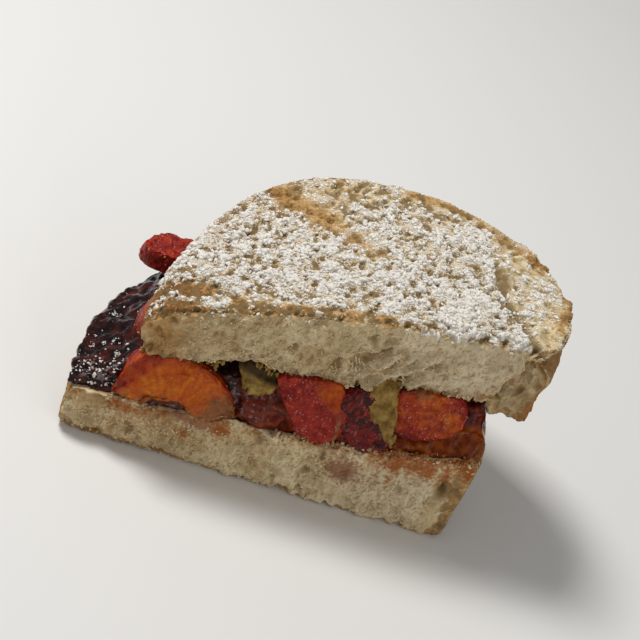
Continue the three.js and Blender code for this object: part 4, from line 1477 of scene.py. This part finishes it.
def edge_bits(seed, count, reach, line, front, long):
    """Torn bits along an edge: their places are drawn along X between two ends, in a band round the line
    and in front of and behind its front, with gaps left by noise, and they hang as long lumps."""
    draw = np.random.default_rng(seed)
    x = lerp(*reach, draw.random(count))
    z = line(x) + lerp(-1.6, 1.2, draw.random(count))
    y = front(x) + lerp(-0.5, 0.8, draw.random(count))
    place = np.stack([x, y, z], axis=-1)
    place = place[noise(place * ALONG_CUT, 4.0, seed) > -0.35]
    count = len(place)
    tilt = [0.5 * draw.random(count) - 0.25, 0.6 * draw.random(count) - 0.9, 0.8 * draw.random(count) - 0.2]
    normal = unit(np.stack(tilt, axis=-1))
    sizes = three_sizes(0.2 + 0.42 * draw.random(count) ** 1.6, long, 0.6)
    turns = math.pi / 2 + 0.9 * (draw.random(count) - 0.5)
    return place, *scattered(place, normal, sizes, turns, 0.5, draw)


def soaked_crumbs():
    """Crumbs along the bottom slice's upper edge: orange with syrup at the right end, red brown with
    jelly or plain elsewhere."""
    place, points, faces = edge_bits(
        91, 420, (-44, 54), lambda x: bottom_top(x) + 0.9 + 1.2 * ramp(x, 30, 38), lambda x: -0.3, 1.3)
    right = ramp(place[:, 0], 24, 32)
    chance = cell_value(np.floor(place * 3), 77)
    stain = np.where(chance < 0.6, 0.75, 0.3) * (1 - 0.5 * right)
    syrup = np.where(chance > 0.25, 0.95, 0.7) * right + 0.5 * (chance > 0.6)
    corners = len(ICOSAHEDRON[0])
    masks = bread_masks(len(points), {"stain": np.repeat(stain, corners), "syrup": np.repeat(syrup, corners)})
    make_piece("soaked_crumbs", points, faces, BREAD, (), masks)


def peanut_butter_smears():
    """Smears of peanut butter along the top slice's lower edge."""
    _, points, faces = edge_bits(
        95, 360, (-28, 52), lambda x: underside(x) - 0.4, lambda x: 3.6 + 0.052 * (x + 41), 2.4)
    make_piece("peanut_butter_smears", points, faces, PEANUT_BUTTER)


# ---------------------------------------------------------------- floor, light and camera

FLOOR_HALF = 3.0
LIGHT_TARGET = Vector((0, 0, 0.03))
# Each light's place, size, power in watts and colour.
LIGHTS = {
    "key": ((-0.30, 0.20, 0.70), 0.20, 4.7, (1.0, 0.98, 0.95)),
    "fill": ((0.55, -0.52, 0.40), 0.7, 0.80, (1.0, 0.98, 0.94)),
    "glint": ((0.22, -0.78, 0.26), 0.08, 0.45, (1.0, 0.98, 0.95)),
}
ROOM_STRENGTH = 0.275
CAMERA_PLACE = Vector((-80.2, -401.3, 332.0)) * MM
CAMERA_UP = Vector((-0.2817, 0.6946, 0.6619))
CAMERA_LENS = 104
SENSOR = 36


def floor():
    """A plain pale floor under the base."""
    mesh = bpy.data.meshes.new("floor")
    corners = [(x * FLOOR_HALF, y * FLOOR_HALF, 0) for x, y in ((-1, -1), (1, -1), (1, 1), (-1, 1))]
    mesh.from_pydata(corners, [], [(0, 1, 2, 3)])
    material = bpy.data.materials.new("pale_floor")
    material.use_nodes = True
    surface = material.node_tree.nodes["Principled BSDF"]
    surface.inputs["Base Color"].default_value = (*FLOOR_GREY, 1)
    surface.inputs["Roughness"].default_value = 0.6
    mesh.materials.append(material)
    piece = bpy.data.objects.new("floor", mesh)
    bpy.context.scene.collection.objects.link(piece)


def area_light(name, place, size, watts, colour):
    """A square soft light that looks at the object."""
    data = bpy.data.lights.new(name, "AREA")
    data.shape = "SQUARE"
    data.size = size
    data.energy = watts
    data.color = colour
    light = bpy.data.objects.new(name, data)
    light.location = place
    light.rotation_euler = (LIGHT_TARGET - Vector(place)).to_track_quat("-Z", "Y").to_euler()
    bpy.context.scene.collection.objects.link(light)


def room():
    """Even pale light from all round."""
    world = bpy.data.worlds.new("soft_room")
    world.use_nodes = True
    background = world.node_tree.nodes["Background"]
    background.inputs["Color"].default_value = (*ROOM_LIGHT, 1)
    background.inputs["Strength"].default_value = ROOM_STRENGTH
    bpy.context.scene.world = world
    bpy.context.scene.view_settings.view_transform = "Standard"


def camera():
    """Looks at the middle of the object from the upper front, tilted as a hand-held camera was."""
    low, high = CAD_BOX
    target = (low + high) / 2
    back = (CAMERA_PLACE - target).normalized()
    right = CAMERA_UP.cross(back).normalized()
    up = back.cross(right)
    data = bpy.data.cameras.new("camera")
    data.lens = CAMERA_LENS
    data.sensor_width = SENSOR
    data.clip_start = 0.01
    eye = bpy.data.objects.new("camera", data)
    turn = Matrix((right, up, back)).transposed()
    eye.matrix_world = Matrix.Translation(CAMERA_PLACE) @ turn.to_4x4()
    bpy.context.scene.collection.objects.link(eye)
    bpy.context.scene.camera = eye


# ---------------------------------------------------------------- the sandwich and its scene

top_slice = bread_top()
bottom_slice = bread_bottom()
crust_flap()
peanut_butter_sheet()
for tongue in TONGUES:
    peanut_butter_tongue(tongue)
jelly = jelly_layer()
berry_pieces = strawberries()
powdered_sugar(*top_slice, *jelly)
strawberry_seeds(berry_pieces)
loose_crumbs([top_slice, bottom_slice])
torn_threads()
soaked_crumbs()
peanut_butter_smears()

floor()
camera()
for light, settings in LIGHTS.items():
    area_light(light, *settings)
room()
